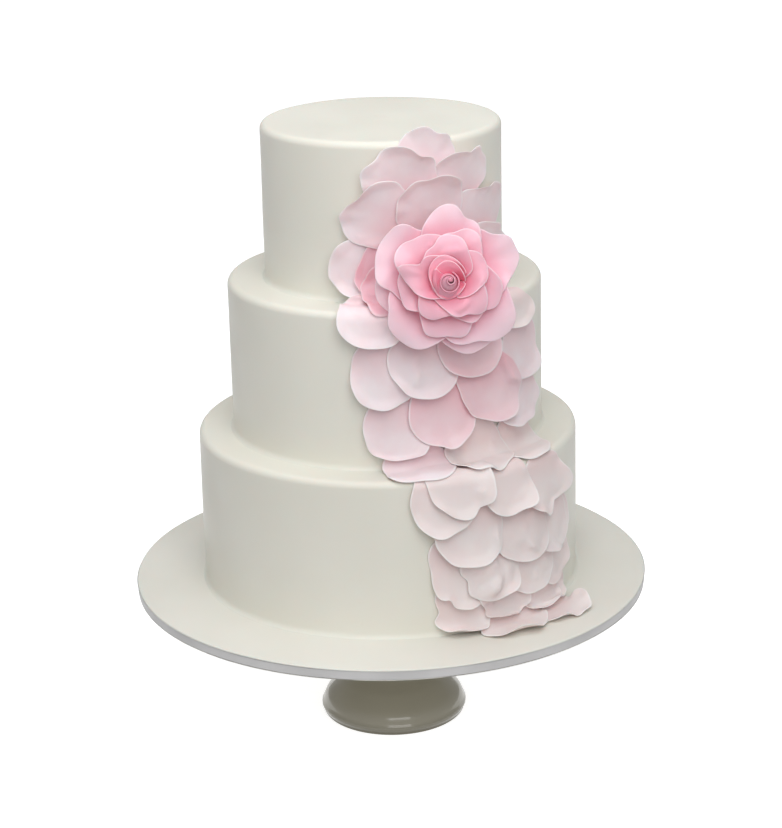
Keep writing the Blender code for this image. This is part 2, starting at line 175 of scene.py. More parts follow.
def noise_value(finish, scale, detail=2.0, roughness=0.5):
    place = add_node(finish, "ShaderNodeTexCoord")
    made = add_node(finish, "ShaderNodeTexNoise", Scale=scale, Detail=detail, Roughness=roughness)
    join(finish, place.outputs["Object"], made.inputs["Vector"])
    return made.outputs["Fac"]


print("helpers for finishes are ready")

# %% [markdown]
# The next helpers use those values. Colours are written as a picture editor shows them, from 0 to
# 255. Blender wants linear values, so they are turned into those where they go into a node. One
# helper lets the gloss wander, and one adds the fine grain that hand-rolled paste has, as a bump:
# that is cheaper than real dents and enough for dents this small.

# %% Helpers for colour, gloss and grain
# A Mix node lists sockets for every kind of data. These are the numbers of those for colours.
MIX_FACTOR, MIX_FIRST, MIX_SECOND, MIX_RESULT = 0, 6, 7, 2


def srgb(red, green, blue):
    """A colour as a picture editor shows it, turned into Blender's linear values."""
    return tuple(
        (c / 12.92 if c <= 0.04045 else ((c + 0.055) / 1.055) ** 2.4)
        for c in (red / 255, green / 255, blue / 255)
    )


def mix_colour(finish, factor, first, second):
    """Mixes two colours, each from another node or written from 0 to 255."""
    made = add_node(finish, "ShaderNodeMix", data_type="RGBA")
    for number, value in ((MIX_FACTOR, factor), (MIX_FIRST, first), (MIX_SECOND, second)):
        if isinstance(value, bpy.types.NodeSocket):
            join(finish, value, made.inputs[number])
        else:
            made.inputs[number].default_value = (*srgb(*value), 1)
    return made.outputs[MIX_RESULT]


def between(finish, value, low, high, out_low=0.0, out_high=1.0):
    """Stretches the part of a value from low to high smoothly over a new range."""
    made = add_node(finish, "ShaderNodeMapRange", interpolation_type="SMOOTHSTEP")
    ends = {"From Min": low, "From Max": high, "To Min": out_low, "To Max": out_high}
    for name, number in ends.items():
        made.inputs[name].default_value = number
    join(finish, value, made.inputs["Value"])
    return made.outputs["Result"]


def stored_value(finish, name):
    """A number that the mesh stores for each of its points."""
    return add_node(finish, "ShaderNodeAttribute", attribute_name=name).outputs["Fac"]


def vary_gloss(finish, shader, clouds, low, high):
    join(finish, between(finish, clouds, 0.3, 0.7, low, high), shader.inputs["Roughness"])


def add_bump(finish, shader, height, distance, strength):
    made = add_node(finish, "ShaderNodeBump", Strength=strength, Distance=distance)
    join(finish, height, made.inputs["Height"])
    join(finish, made.outputs["Normal"], shader.inputs["Normal"])


print("128 as a linear value", round(srgb(128, 128, 128)[0], 3))

# %% [markdown]
# The floor is a wide pale sheet. It carries light of its own, as a backdrop does that has lamps
# pointed at it, so that it stays white right up to the cake. On a real set black cards keep that
# light off the cake. Here the floor is left out of the light that bounces onto other things, so
# that the sides of the tiers stay a little darker than their tops, and darkest at the outlines.

# %% Lay the floor
FLOOR_HALF, FLOOR_SHADE, FLOOR_GLOW = 30, 0.8, 0.8
floor_finish, floor_shader = new_finish("pale backdrop", 0.9)
floor_shader.inputs["Base Color"].default_value = (FLOOR_SHADE, FLOOR_SHADE, FLOOR_SHADE, 1)
floor_shader.inputs["Emission Color"].default_value = (1, 1, 1, 1)
floor_shader.inputs["Emission Strength"].default_value = FLOOR_GLOW
floor_corners = [(x * FLOOR_HALF, y * FLOOR_HALF, 0) for x, y in ((-1, -1), (1, -1), (1, 1), (-1, 1))]
floor_mesh = bpy.data.meshes.new("floor")
floor_mesh.from_pydata(floor_corners, [], [(0, 1, 2, 3)])
floor_mesh.materials.append(floor_finish)
floor = bpy.data.objects.new("floor", floor_mesh)
put_in_scene(floor)
floor.visible_diffuse = False
print("floor", 2 * FLOOR_HALF, "m wide")

# %% [markdown]
# Sugar paste, the white skin of the tiers and the board, is sugar and fat rolled out 4 mm thick.
# It is not pure white but a warm ivory, light soaks a little way into it, and its surface has a
# soft satin gloss with very shallow hollows from the smoothing tool. Two close shades mixed by a
# wide noise keep it from looking like painted plastic.

# %% White sugar paste
def sugar_paste(name, light, dark):
    finish, shader = new_finish(name, 0.5, scatter=0.25)
    shade = mix_colour(finish, between(finish, noise_value(finish, 9), 0.3, 0.7), light, dark)
    join(finish, shade, shader.inputs["Base Color"])
    vary_gloss(finish, shader, noise_value(finish, 24, 3), 0.44, 0.56)
    add_bump(finish, shader, noise_value(finish, 420, 3, 0.6), 0.00012, 0.5)
    return finish


ICING = sugar_paste("white sugar paste", (233, 231, 221), (229, 227, 216))
print("finish", ICING.name)

# %% [markdown]
# The tiers, the board, the ribbon and the stand are all round, so each is an outline turned
# about the upright axis. Blender's Screw modifier could turn it, but paste laid by hand isn't
# perfectly true, so the rings are computed here and each point is moved in or out by a fraction
# of a millimetre with a slow noise. The noise hardly passes 0.6, so that much is taken off it:
# the paste sinks in from the solid's size instead of swelling past it.

# %% Turn an outline into a mesh
NOISE_PEAK = 0.6


def arc(centre, radius, start, end, steps):
    angles = np.radians(np.linspace(start, end, steps + 1))
    return [(centre[0] + radius * math.cos(a), centre[1] + radius * math.sin(a)) for a in angles]


def run_between(start, end, step):
    """Points from start to end, about this far apart, without the end."""
    count = max(1, round(math.dist(start, end) / step))
    return [
        (start[0] + (end[0] - start[0]) * k / count, start[1] + (end[1] - start[1]) * k / count)
        for k in range(count)
    ]


def add_piece(mesh, finish, slot, *stands_for):
    """Makes a mesh a piece of the same name, which may stand for solids of the model."""
    mesh.shade_smooth()
    mesh.materials.append(finish)
    made = bpy.data.objects.new(mesh.name, mesh)
    put_in_scene(made)
    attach(made, "root")
    if stands_for:
        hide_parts(*stands_for)


def revolve(name, outline, segments, uneven=0.0, wander=0.02):
    """The outline, from the top middle to the bottom middle, in mm from the floor, turned once."""
    outline = np.array(outline, float)
    along = np.gradient(outline, axis=0)
    out = np.stack([-along[:, 1], along[:, 0]], 1)
    out /= np.maximum(np.linalg.norm(out, axis=1, keepdims=True), 1e-9)
    turns = 2 * math.pi * np.arange(segments) / segments
    points = []
    for (radius, height), (push, lift) in zip(outline[1:-1], out[1:-1]):
        for turn in turns:
            side = Vector((math.cos(turn), math.sin(turn), 0))
            point = side * radius + Vector((0, 0, height))
            if uneven:
                swell = uneven * (noise.noise(point * wander) - NOISE_PEAK)
                point += (side * push + Vector((0, 0, lift))) * swell
            points.append(point * MM)
    rings = len(outline) - 2
    points += [Vector((0, 0, outline[0][1])) * MM, Vector((0, 0, outline[-1][1])) * MM]
    top, bottom = len(points) - 2, len(points) - 1
    faces = []
    for k in range(segments):
        after = (k + 1) % segments
        faces.append((top, k, after))
        last = (rings - 1) * segments
        faces.append((bottom, last + after, last + k))
        for ring in range(rings - 1):
            a, b = ring * segments, (ring + 1) * segments
            faces.append((a + k, b + k, b + after, a + after))
    mesh = bpy.data.meshes.new(name)
    mesh.from_pydata(points, [], faces)
    return mesh


# %% [markdown]
# A covered tier has a straight side and a shoulder rounded by the smoothing tool. Its foot is
# pressed down into a small hollow curve, so that it runs softly into the sheet below with no gap
# to see. The ring spacing is close enough for the shallow hollows.

# %% Make the three tiers
SHOULDER, COVE, COVE_SINK = 5, 4, 1
FOOT_SUNK, FOOT_INSET = 2, 12
tier_faces = 0
for tier in TIERS:
    radius, low, high = TIER_RADIUS[tier], TIER_LOW[tier], TIER_HIGH[tier]
    outline = run_between((0, high), (radius - SHOULDER, high), 7)
    outline += arc((radius - SHOULDER, high - SHOULDER), SHOULDER, 90, 0, 10)
    outline += run_between((radius, high - SHOULDER - 2), (radius, low + COVE), 5)
    outline += arc((radius + COVE, low + COVE - COVE_SINK), COVE, 180, 268, 9)
    outline += [(r, low - FOOT_SUNK) for r in (radius + COVE, radius - FOOT_INSET, 0)]
    mesh = revolve("tier_" + tier + "_icing", outline, 192, uneven=0.5, wander=0.016)
    tier_faces += len(mesh.polygons)
    add_piece(mesh, ICING, "sugar_paste", "tier_" + tier)
print("tiers:", tier_faces, "faces")

# %% [markdown]
# The board is a card drum under the same paste, painted a shade darker there as painted shade. Its top
# sheet stops in a thin rounded lip above the ribbon, and a narrow edge of white backing shows under the
# ribbon.

# %% Make the board
RIBBON_LOW, RIBBON_HIGH = (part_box("ribbon")[k].z / MM for k in (0, 1))
RIBBON_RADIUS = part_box("ribbon")[1].x / MM
LIP, GROOVE_DEPTH = 1.0, 0.9
groove = RIBBON_RADIUS - GROOVE_DEPTH
board_outline = run_between((0, BOARD_TOP), (BOARD_RADIUS - LIP, BOARD_TOP), 8)
board_outline += arc((BOARD_RADIUS - LIP, BOARD_TOP - LIP), LIP, 90, -20, 7)
board_outline += [(groove, RIBBON_HIGH + 0.3), (groove, RIBBON_LOW - 0.25)]
board_outline += [(BOARD_RADIUS - 0.4, RIBBON_LOW - 0.3), (BOARD_RADIUS - 0.3, RIBBON_LOW - 0.5)]
board_outline += [(BOARD_RADIUS - 0.5, BOARD_LOW), (0, BOARD_LOW)]
# Painted shade: the board's paste is a shade darker than the tiers' paste.
SHADED_BOARD_ICING = sugar_paste("board sugar paste", (229, 227, 219), (225, 223, 214))
board_mesh = revolve("board_covering", board_outline, 288, uneven=0.35, wander=0.012)
add_piece(board_mesh, SHADED_BOARD_ICING, "sugar_paste", "board")
print("board", round(2 * BOARD_RADIUS), "mm across")

# %% [markdown]
# The ribbon is silvery satin, woven so that its threads run along it. The threads can't be seen
# one by one from here, but they stretch the gloss up and down. A wave texture across the width
# gives the rows of weave, and a slow noise round the board gives the small ripples of glued
# ribbon. Its two ends lap over each other at the back.

# %% Satin ribbon
RIBBON_THICK, RIBBON_STEPS = 0.35, 240
LAP_STEPS, CLIMB_STEPS = 7, 3
SHARP_EDGE = math.radians(50)


def satin():
    finish, shader = new_finish("silver satin", 0.4, specular=0.3)
    ripple = between(finish, noise_value(finish, 30, 3), 0.3, 0.7)
    shade = mix_colour(finish, ripple, (218, 217, 217), (206, 205, 205))
    join(finish, shade, shader.inputs["Base Color"])
    place = add_node(finish, "ShaderNodeTexCoord")
    rows = add_node(finish, "ShaderNodeTexWave", bands_direction="Z", Scale=330, Distortion=0.4)
    join(finish, place.outputs["Object"], rows.inputs["Vector"])
    add_bump(finish, shader, rows.outputs["Fac"], 0.00006, 0.6)
    return finish


def ribbon_mesh(low, high, radius):
    """A band once round and a little more: its end climbs over its start at the back."""
    thick = RIBBON_THICK
    points, faces = [], []
    for k in range(RIBBON_STEPS + LAP_STEPS):
        turn = math.pi / 2 + 2 * math.pi * k / RIBBON_STEPS
        climb = thick * min(1.0, max(0.0, (k - RIBBON_STEPS + CLIMB_STEPS) / CLIMB_STEPS))
        sag = 0.08 * noise.noise(Vector((math.cos(turn), math.sin(turn), 0)) * 9)
        for r, z in ((0.0, low), (thick, low + 0.1), (thick, high - 0.1), (0.0, high)):
            out = radius - 2 * thick + r + climb + (sag if r else 0)
            points.append(Vector((out * math.cos(turn), out * math.sin(turn), z)) * MM)
    for k in range(RIBBON_STEPS + LAP_STEPS - 1):
        for side in range(4):
            a, b = 4 * k + side, 4 * k + (side + 1) % 4
            faces.append((a, a + 4, b + 4, b))
    last = 4 * (RIBBON_STEPS + LAP_STEPS - 1)
    faces += [(0, 1, 2, 3), (last + 3, last + 2, last + 1, last)]
    mesh = bpy.data.meshes.new("ribbon_band")
    mesh.from_pydata(points, [], faces)
    return mesh


band = ribbon_mesh(RIBBON_LOW, RIBBON_HIGH, RIBBON_RADIUS)
add_piece(band, satin(), "ribbon", "ribbon")
band.set_sharp_from_angle(angle=SHARP_EDGE)
print("ribbon", round(RIBBON_HIGH - RIBBON_LOW, 1), "mm wide")

# %% [markdown]
# The pedestal is cast ceramic under a clear cream glaze. Only its flared foot shows under the board.
# Its colour is painted darker than cream, as painted shade for the shadow of the board above, and
# darker still in a band along the bottom rim, so the colour follows the height. A coat on the
# shader gives the second, sharper gloss.

# %% Glazed pedestal
DARK_BAND_HEIGHT = 0.0085


def glaze():
    finish, shader = new_finish("cream glaze", 0.3, coat=0.7)
    place = add_node(finish, "ShaderNodeTexCoord")
    parts = add_node(finish, "ShaderNodeSeparateXYZ")
    join(finish, place.outputs["Object"], parts.inputs["Vector"])
    # Darker in a band along the bottom rim of the foot.
    above_dark_band = between(finish, parts.outputs["Z"], 0.2 * DARK_BAND_HEIGHT, DARK_BAND_HEIGHT)
    # Painted shade: both cream tones are darker than the real glaze, for the shadow of the board above.
    shade = mix_colour(finish, noise_value(finish, 26, 3), (184, 179, 161), (175, 170, 152))
    colour = mix_colour(finish, above_dark_band, (120, 114, 92), shade)
    join(finish, colour, shader.inputs["Base Color"])
    add_bump(finish, shader, noise_value(finish, 70, 2), 0.0004, 0.25)
    return finish


stand_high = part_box("stand")[1]
PLATE_TOP = stand_high.z / MM
PLATE_RADIUS = stand_high.x / MM
PLATE_EDGE = 4
FOOT_RADIUS = 52
STAND_CURVE = [
    (PLATE_RADIUS - 12, PLATE_TOP - 10), (60, PLATE_TOP - 17), (24, PLATE_TOP - 30),
    (19, PLATE_TOP - 48), (26, 33), (37.5, 23.5), (47.5, 14.5), (50.8, 8),
]


def smooth_outline(points, steps):
    """A Catmull-Rom curve through the points: it passes through each one with no corner."""
    padded = np.array([points[0], *points, points[-1]], float)
    made = []
    for before, start, end, after in zip(padded, padded[1:], padded[2:], padded[3:]):
        for t in np.linspace(0, 1, steps, endpoint=False):
            bend = 2 * before - 5 * start + 4 * end - after
            sweep = 3 * start - before - 3 * end + after
            made.append(tuple(0.5 * (2 * start + (end - before) * t + bend * t**2 + sweep * t**3)))
    return made + [tuple(padded[-1])]


stand_outline = run_between((0, PLATE_TOP), (PLATE_RADIUS - PLATE_EDGE, PLATE_TOP), 20)
stand_outline += arc((PLATE_RADIUS - PLATE_EDGE, PLATE_TOP - PLATE_EDGE), PLATE_EDGE, 90, -60, 10)
stand_outline += smooth_outline(STAND_CURVE, 8)
stand_outline += arc((FOOT_RADIUS - 3, 5), 3, 30, -45, 5)
stand_outline += arc((FOOT_RADIUS - 2.5, 1.2), 1.2, 20, -90, 5) + [(FOOT_RADIUS - 8, 0), (0, 0)]
stand_mesh = revolve("pedestal", stand_outline, 160)
add_piece(stand_mesh, glaze(), "ceramic", "stand")
print("pedestal", len(stand_mesh.polygons), "faces")

# %% [markdown]
# ## The skin that petals lie on
# A petal is cut flat and pressed on while it is soft, so it follows the cake: over a shoulder,
# down a side, out over a ledge. The easiest way to get that is to treat the cake's outline as one
# long path, and to place each point of a petal by its angle round the cake, its run along the
# path and its height off it. The corners of the path are rounded, since paste never creases there.

# %% Unroll the cake
HOLLOW_BEND, WIDE_HOLLOW_BEND, EDGE_BEND = 12, 18, 5.5
PATH_START, PATH_ABOVE_TOP = 191, 40
heights = {tier: TIER_HIGH[tier] - BOARD_TOP for tier in TIERS}
CORNERS = np.array([
    (PATH_START, 0), (TIER_RADIUS["bottom"], 0), (TIER_RADIUS["bottom"], heights["bottom"]),
    (TIER_RADIUS["middle"], heights["bottom"]), (TIER_RADIUS["middle"], heights["middle"]),
    (TIER_RADIUS["top"], heights["middle"]), (TIER_RADIUS["top"], heights["top"] + PATH_ABOVE_TOP),
])
BENDS = (HOLLOW_BEND, EDGE_BEND, HOLLOW_BEND, EDGE_BEND, WIDE_HOLLOW_BEND)
RUNS = np.concatenate([[0], np.cumsum(np.linalg.norm(np.diff(CORNERS, axis=0), axis=1))])
FOOT_RUN = {"board": RUNS[1], "bottom": RUNS[1], "middle": RUNS[3], "top": RUNS[5]}


def skin(runs):
    """Points of the path and the directions that lead away from it, for an array of runs."""
    runs = np.clip(runs, 0, RUNS[-1] - 1e-6)
    sides = np.diff(CORNERS, axis=0)
    sides /= np.linalg.norm(sides, axis=1, keepdims=True)
    k = np.clip(np.searchsorted(RUNS, runs, side="right") - 1, 0, len(sides) - 1)
    points = CORNERS[k] + sides[k] * (runs - RUNS[k])[:, None]
    along = sides[k].copy()
    for corner, bend in enumerate(BENDS, start=1):
        near = np.abs(runs - RUNS[corner]) < bend
        turn = ((runs[near] - RUNS[corner] + bend) / (2 * bend) * math.pi / 2)[:, None]
        before, after = sides[corner - 1], sides[corner]
        points[near] = CORNERS[corner] - bend * before + bend * (
            np.sin(turn) * before + (1 - np.cos(turn)) * after
        )
        along[near] = np.cos(turn) * before + np.sin(turn) * after
    return points, np.stack([along[:, 1], -along[:, 0]], 1)


def on_cake(angles, runs, lifts):
    """Places on the cake in mm, and the directions away from it there."""
    points, out = skin(runs)
    sideways = np.stack([np.sin(angles), -np.cos(angles)], 1)
    away = np.column_stack([sideways * out[:, :1], out[:, 1]])
    place = np.column_stack([sideways * points[:, :1], points[:, 1] + BOARD_TOP])
    return place + away * lifts[:, None], away


print("path", round(RUNS[-1]), "mm from outside the board to above the top tier")

# %% [markdown]
# ## One petal
# Petals are cut with a round cutter, thinned round the edge with a ball tool until it waves, and
# laid like roof tiles. Each is a disc of rings and sectors, which gives a clean round edge. The
# rings lie closer towards the edge, where the waves are. A table further down says where each
# petal lies and how it waves, as a cake maker would note it down.

# %% The disc of a petal
SECTORS, RINGS, RING_CROWDING = 72, 20, 1.4
RING_SHARES = 1 - (1 - np.linspace(0, 1, RINGS + 1)) ** RING_CROWDING
AROUND = 2 * np.pi * np.arange(SECTORS) / SECTORS
SHARE, ROUND = np.meshgrid(RING_SHARES, AROUND, indexing="ij")
PETAL_THICK, EDGE_THICK, RIM_ROUND = 1.15, 0.6, 0.45
PETAL_RAGGED = ((0.016, 2), (0.014, 5), (0.008, 9))


def ease(value, low, high):
    t = np.clip((value - low) / (high - low), 0, 1)
    return t * t * (3 - 2 * t)


def pinches(features):
    """Adds up where an edge was pinched: how far each point moves outwards and how far it rises."""
    push, rise = np.zeros(SHARE.shape), np.zeros(SHARE.shape)
    for at, width, outwards, upwards in features:
        apart = np.degrees(np.angle(np.exp(1j * (ROUND - math.radians(at)))))
        weight = np.exp(-((apart / width) ** 2))
        push += outwards * weight * SHARE**3
        rise += upwards * weight * SHARE**2.5
    return push, rise


def ragged(waves, starts):
    """A rim that isn't quite round. Each wave has a depth and a number of crests."""
    swells = [depth * np.cos(crests * ROUND + start) for (depth, crests), start in zip(waves, starts)]
    return SHARE**2 * sum(swells)


def petal_flat(wide, long, push, draws):
    """Where each point of the disc lies before it is bent: across, along, and how free it is."""
    wobble = 1 + 2 * push / long + ragged(PETAL_RAGGED, draws)
    across = wide / 2 * SHARE * np.sin(ROUND) * (1 + 0.12 * np.cos(ROUND)) * wobble
    along = long / 2 * SHARE * np.cos(ROUND) * wobble
    return across, along, along / long + 0.5


def petal_shape(free, lift, wave, start, draws):
    """How high the petal's own form stands: a lifted free edge, waves, and a lip that turns out."""
    pressed_root = 0.15 + 0.85 * ease(free, 0.1, 0.6)
    height = lift * np.clip(free, 0, 1.1) ** 1.8 + 0.25 * lift * SHARE**4 * pressed_root
    height += 1.2 * wave * SHARE**2.5 * np.cos(3 * ROUND + math.radians(start)) * free
    frill = np.cos(5 * ROUND + draws[3]) + 0.7 * np.cos(8 * ROUND + draws[4])
    height += (0.3 + 0.25 * wave) * SHARE**5 * frill * (0.35 + 0.65 * free)
    height += min(1.3, 0.35 * lift) * ease(SHARE, 0.72, 1.0) * ease(free, 0.35, 0.9)
    return height


print("petal disc", SHARE.size, "points a side")

# %% [markdown]
# Each petal has to pass over those already laid. A line is sent in towards the cake at every
# point, and where it meets a petal that lies there, the new one must be higher than that. The
# extra height is then spread over the neighbours, a few times, because a soft sheet bridges a
# step instead of following it. Near the middle of a disc its points crowd together and would show
# every such step as a crease, so there the height is smoothed once more. A cloth simulation would
# do all this too, but forty thin sheets that touch each other would take minutes and shake, and
# this takes seconds and is always the same.

# %% Lay a petal over the others
PETAL_GAP = 0.35
LOOK_FROM, LOOK_BELOW, LOOK_ROUND = 60, 2, 15
NOTHING_THERE = -1.0
laid_trees = []


def neighbours(values):
    """What the four neighbours of each point hold: outwards, inwards and on either side."""
    outer = np.vstack([values[1:], values[-1:]])
    inner = np.vstack([values[:1], values[:-1]])
    return outer, inner, np.roll(values, 1, 1), np.roll(values, -1, 1)


def spread_once(values):
    """Each point takes the mean of itself, counted twice, and its four neighbours."""
    outer, inner, left, right = neighbours(values)
    made = (2 * values + outer + inner + left + right) / 6
    made[0] = made[1].mean()
    return made


def grown(values):
    """Each point takes the highest of itself and its neighbours."""
    made = np.maximum.reduce([values, *neighbours(values)])
    made[0] = made[:2].max()
    return made


def height_beneath(place, away, trees):
    """How far off its own spot each point would have to be to clear what already lies there."""
    found = np.full(len(place), NOTHING_THERE)
    low, high = place.min(0) - LOOK_ROUND, place.max(0) + LOOK_ROUND
    near = [
        tree for tree, box_low, box_high in trees
        if (box_low < high).all() and (box_high > low).all()
    ]
    for k, (point, out) in enumerate(zip(place, away)):
        start = Vector(point + out * LOOK_FROM)
        inward = Vector(-out)
        for tree in near:
            distance = tree.ray_cast(start, inward, LOOK_FROM + LOOK_BELOW)[3]
            if distance is not None:
                found[k] = max(found[k], LOOK_FROM - distance)
    return found


def calm_middle(height):
    """Round a disc's middle the height follows a soft plane, raised by what it would sink."""
    calm = np.repeat(height.mean(1, keepdims=True), SECTORS, 1)
    for wave in (np.cos(ROUND), np.sin(ROUND)):
        calm += 2 * (height * wave).mean(1, keepdims=True) * wave
    calm = height + (calm - height) * (1 - ease(SHARE, 0.2, 0.65))
    return calm + np.maximum(height - calm, 0).max() * (1 - ease(SHARE, 0.2, 0.85))


def cleared(own, beneath, rounds=16):
    """The petal's own height, raised where something lies beneath and eased all round that."""
    short = np.maximum(grown(beneath + PETAL_GAP) - own, 0) * (grown(beneath) > NOTHING_THERE)
    raised = short
    for _ in range(rounds):
        raised = np.maximum(spread_once(raised), short)
    return calm_middle(own + raised)


print("a petal clears what lies beneath by", PETAL_GAP, "mm")

# %% [markdown]
# The sheet itself gets two sides and a rounded rim, since real paste has a thickness and its edge
# catches the light. Blender's Solidify modifier would do that with square edges. Each laid sheet
# is remembered in a tree of its faces, in which a line finds what it meets quickly.

# %% Make a thin sheet
def disc_faces(first, flip):
    """Faces of one side of a disc whose middle point comes first, then its rings."""
    faces = []
    for k in range(SECTORS):
        after = (k + 1) % SECTORS
        faces.append((first, first + 1 + k, first + 1 + after))
        for ring in range(len(RING_SHARES) - 2):
            a = first + 1 + ring * SECTORS
            b = a + SECTORS
            faces.append((a + k, b + k, b + after, a + after))
    return [face[::-1] for face in faces] if flip else faces


def points_of(grid):
    """The disc's points without the copies of its middle."""
    return np.concatenate([grid[:1, 0], grid[1:].reshape(-1, *grid.shape[2:])])


def sheet_mesh(name, under, out):
    """A thin body from the grid of its underside and the directions out of it, with a round rim."""
    thickness = EDGE_THICK + (PETAL_THICK - EDGE_THICK) * (1 - SHARE**4)
    upper = under + out * thickness[..., None]
    middle = (under[-1] + upper[-1]) / 2
    outward = middle - (under[-2] + upper[-2]) / 2
    outward /= np.linalg.norm(outward, axis=1, keepdims=True)
    low, high = points_of(under), points_of(upper)
    rim = middle + outward * EDGE_THICK * RIM_ROUND
    count = len(low)
    faces = disc_faces(0, True) + disc_faces(count, False)
    edge = count - SECTORS
    for k in range(SECTORS):
        after = (k + 1) % SECTORS
        faces.append((edge + k, edge + after, 2 * count + after, 2 * count + k))
        faces.append((2 * count + k, 2 * count + after, count + edge + after, count + edge + k))
    mesh = bpy.data.meshes.new(name)
    mesh.from_pydata(np.vstack([low, high, rim]) * MM, [], faces)
    return mesh, high


def remember(points, trees):
    """Keeps the upper side of a laid sheet, so that later ones can be laid over it."""
    faces = disc_faces(0, False)
    tree = BVHTree.FromPolygons([Vector(p) for p in points], faces)
    trees.append((tree, points.min(0), points.max(0)))


def store(mesh, name, values):
    """Gives each point of a mesh a number, for the finish to read."""
    mesh.attributes.new(name, "FLOAT", "POINT").data.foreach_set("value", values)


def store_grid(mesh, name, grid):
    """Stores the numbers of a disc: the same on both sides and at the rim."""
    side = points_of(grid[..., None])[:, 0]
    store(mesh, name, np.concatenate([side, side, grid[-1]]).astype(np.float32))


print("a sheet has", 2 * len(disc_faces(0, False)) + 2 * SECTORS, "faces")

# %% [markdown]
# The paste is tinted before it is rolled. Near the rose it is pinker, and lower down it is almost
# white, so there are four batches of colour. Within one petal the root, which lies in the shade of
# its neighbours, is deeper, and the thinned edge is paler, as light comes through it. Two numbers
# stored on the mesh tell the shader how far a point is from the root and from the middle.

# %% Blush petal paste
def rolled_thin(finish, shader, colour, gloss_low, gloss_high):
    """What all thin petals share: a gloss that wanders, and the grain that the roller leaves."""
    join(finish, colour, shader.inputs["Base Color"])
    vary_gloss(finish, shader, noise_value(finish, 90, 2), gloss_low, gloss_high)
    add_bump(finish, shader, noise_value(finish, 260, 4, 0.6), 0.00025, 0.35)
    return finish


def petal_paste(name, body, root, rim):
    finish, shader = new_finish(name, 0.48, scatter=0.3)
    free, share = (stored_value(finish, value) for value in ("free", "share"))
    colour = mix_colour(finish, between(finish, free, 0.1, 0.75), root, body)
    cloudy = between(finish, noise_value(finish, 55, 3), 0.35, 0.7, 0.0, 0.35)
    colour = mix_colour(finish, cloudy, colour, root)
    colour = mix_colour(finish, between(finish, share, 0.94, 1.0, 0.0, 0.65), colour, rim)
    return rolled_thin(finish, shader, colour, 0.42, 0.56)


PASTES = {
    "pale": petal_paste("palest petal paste", (241, 228, 226), (239, 214, 213), (249, 243, 241)),
    "blush": petal_paste("blush petal paste", (247, 230, 233), (242, 207, 212), (251, 244, 244)),
    "pink": petal_paste("pinker petal paste", (248, 216, 221), (243, 188, 197), (251, 238, 240)),
    "rosy": petal_paste("rosy petal paste", (245, 196, 206), (238, 160, 177), (250, 224, 229)),
}
print("batches of paste:", ", ".join(PASTES))

# %% [markdown]
# ## The cascade
# The rows go from the lowest petal to the one laid last, as the maker works upwards. A row holds
# the petal's name, which starts with its tier, its angle round the cake, the run of its middle up
# from the tier's foot, its turn (0 hangs straight down, 180 stands up, and a positive turn swings
# the free end to the right), its width, its length, how far its free edge lifts, how deep its
# waves are, where they start, and its batch of paste. Lengths are in millimetres and angles in
# degrees. The two petals on the board are measured from the bottom tier's foot too, so their
# runs are negative.

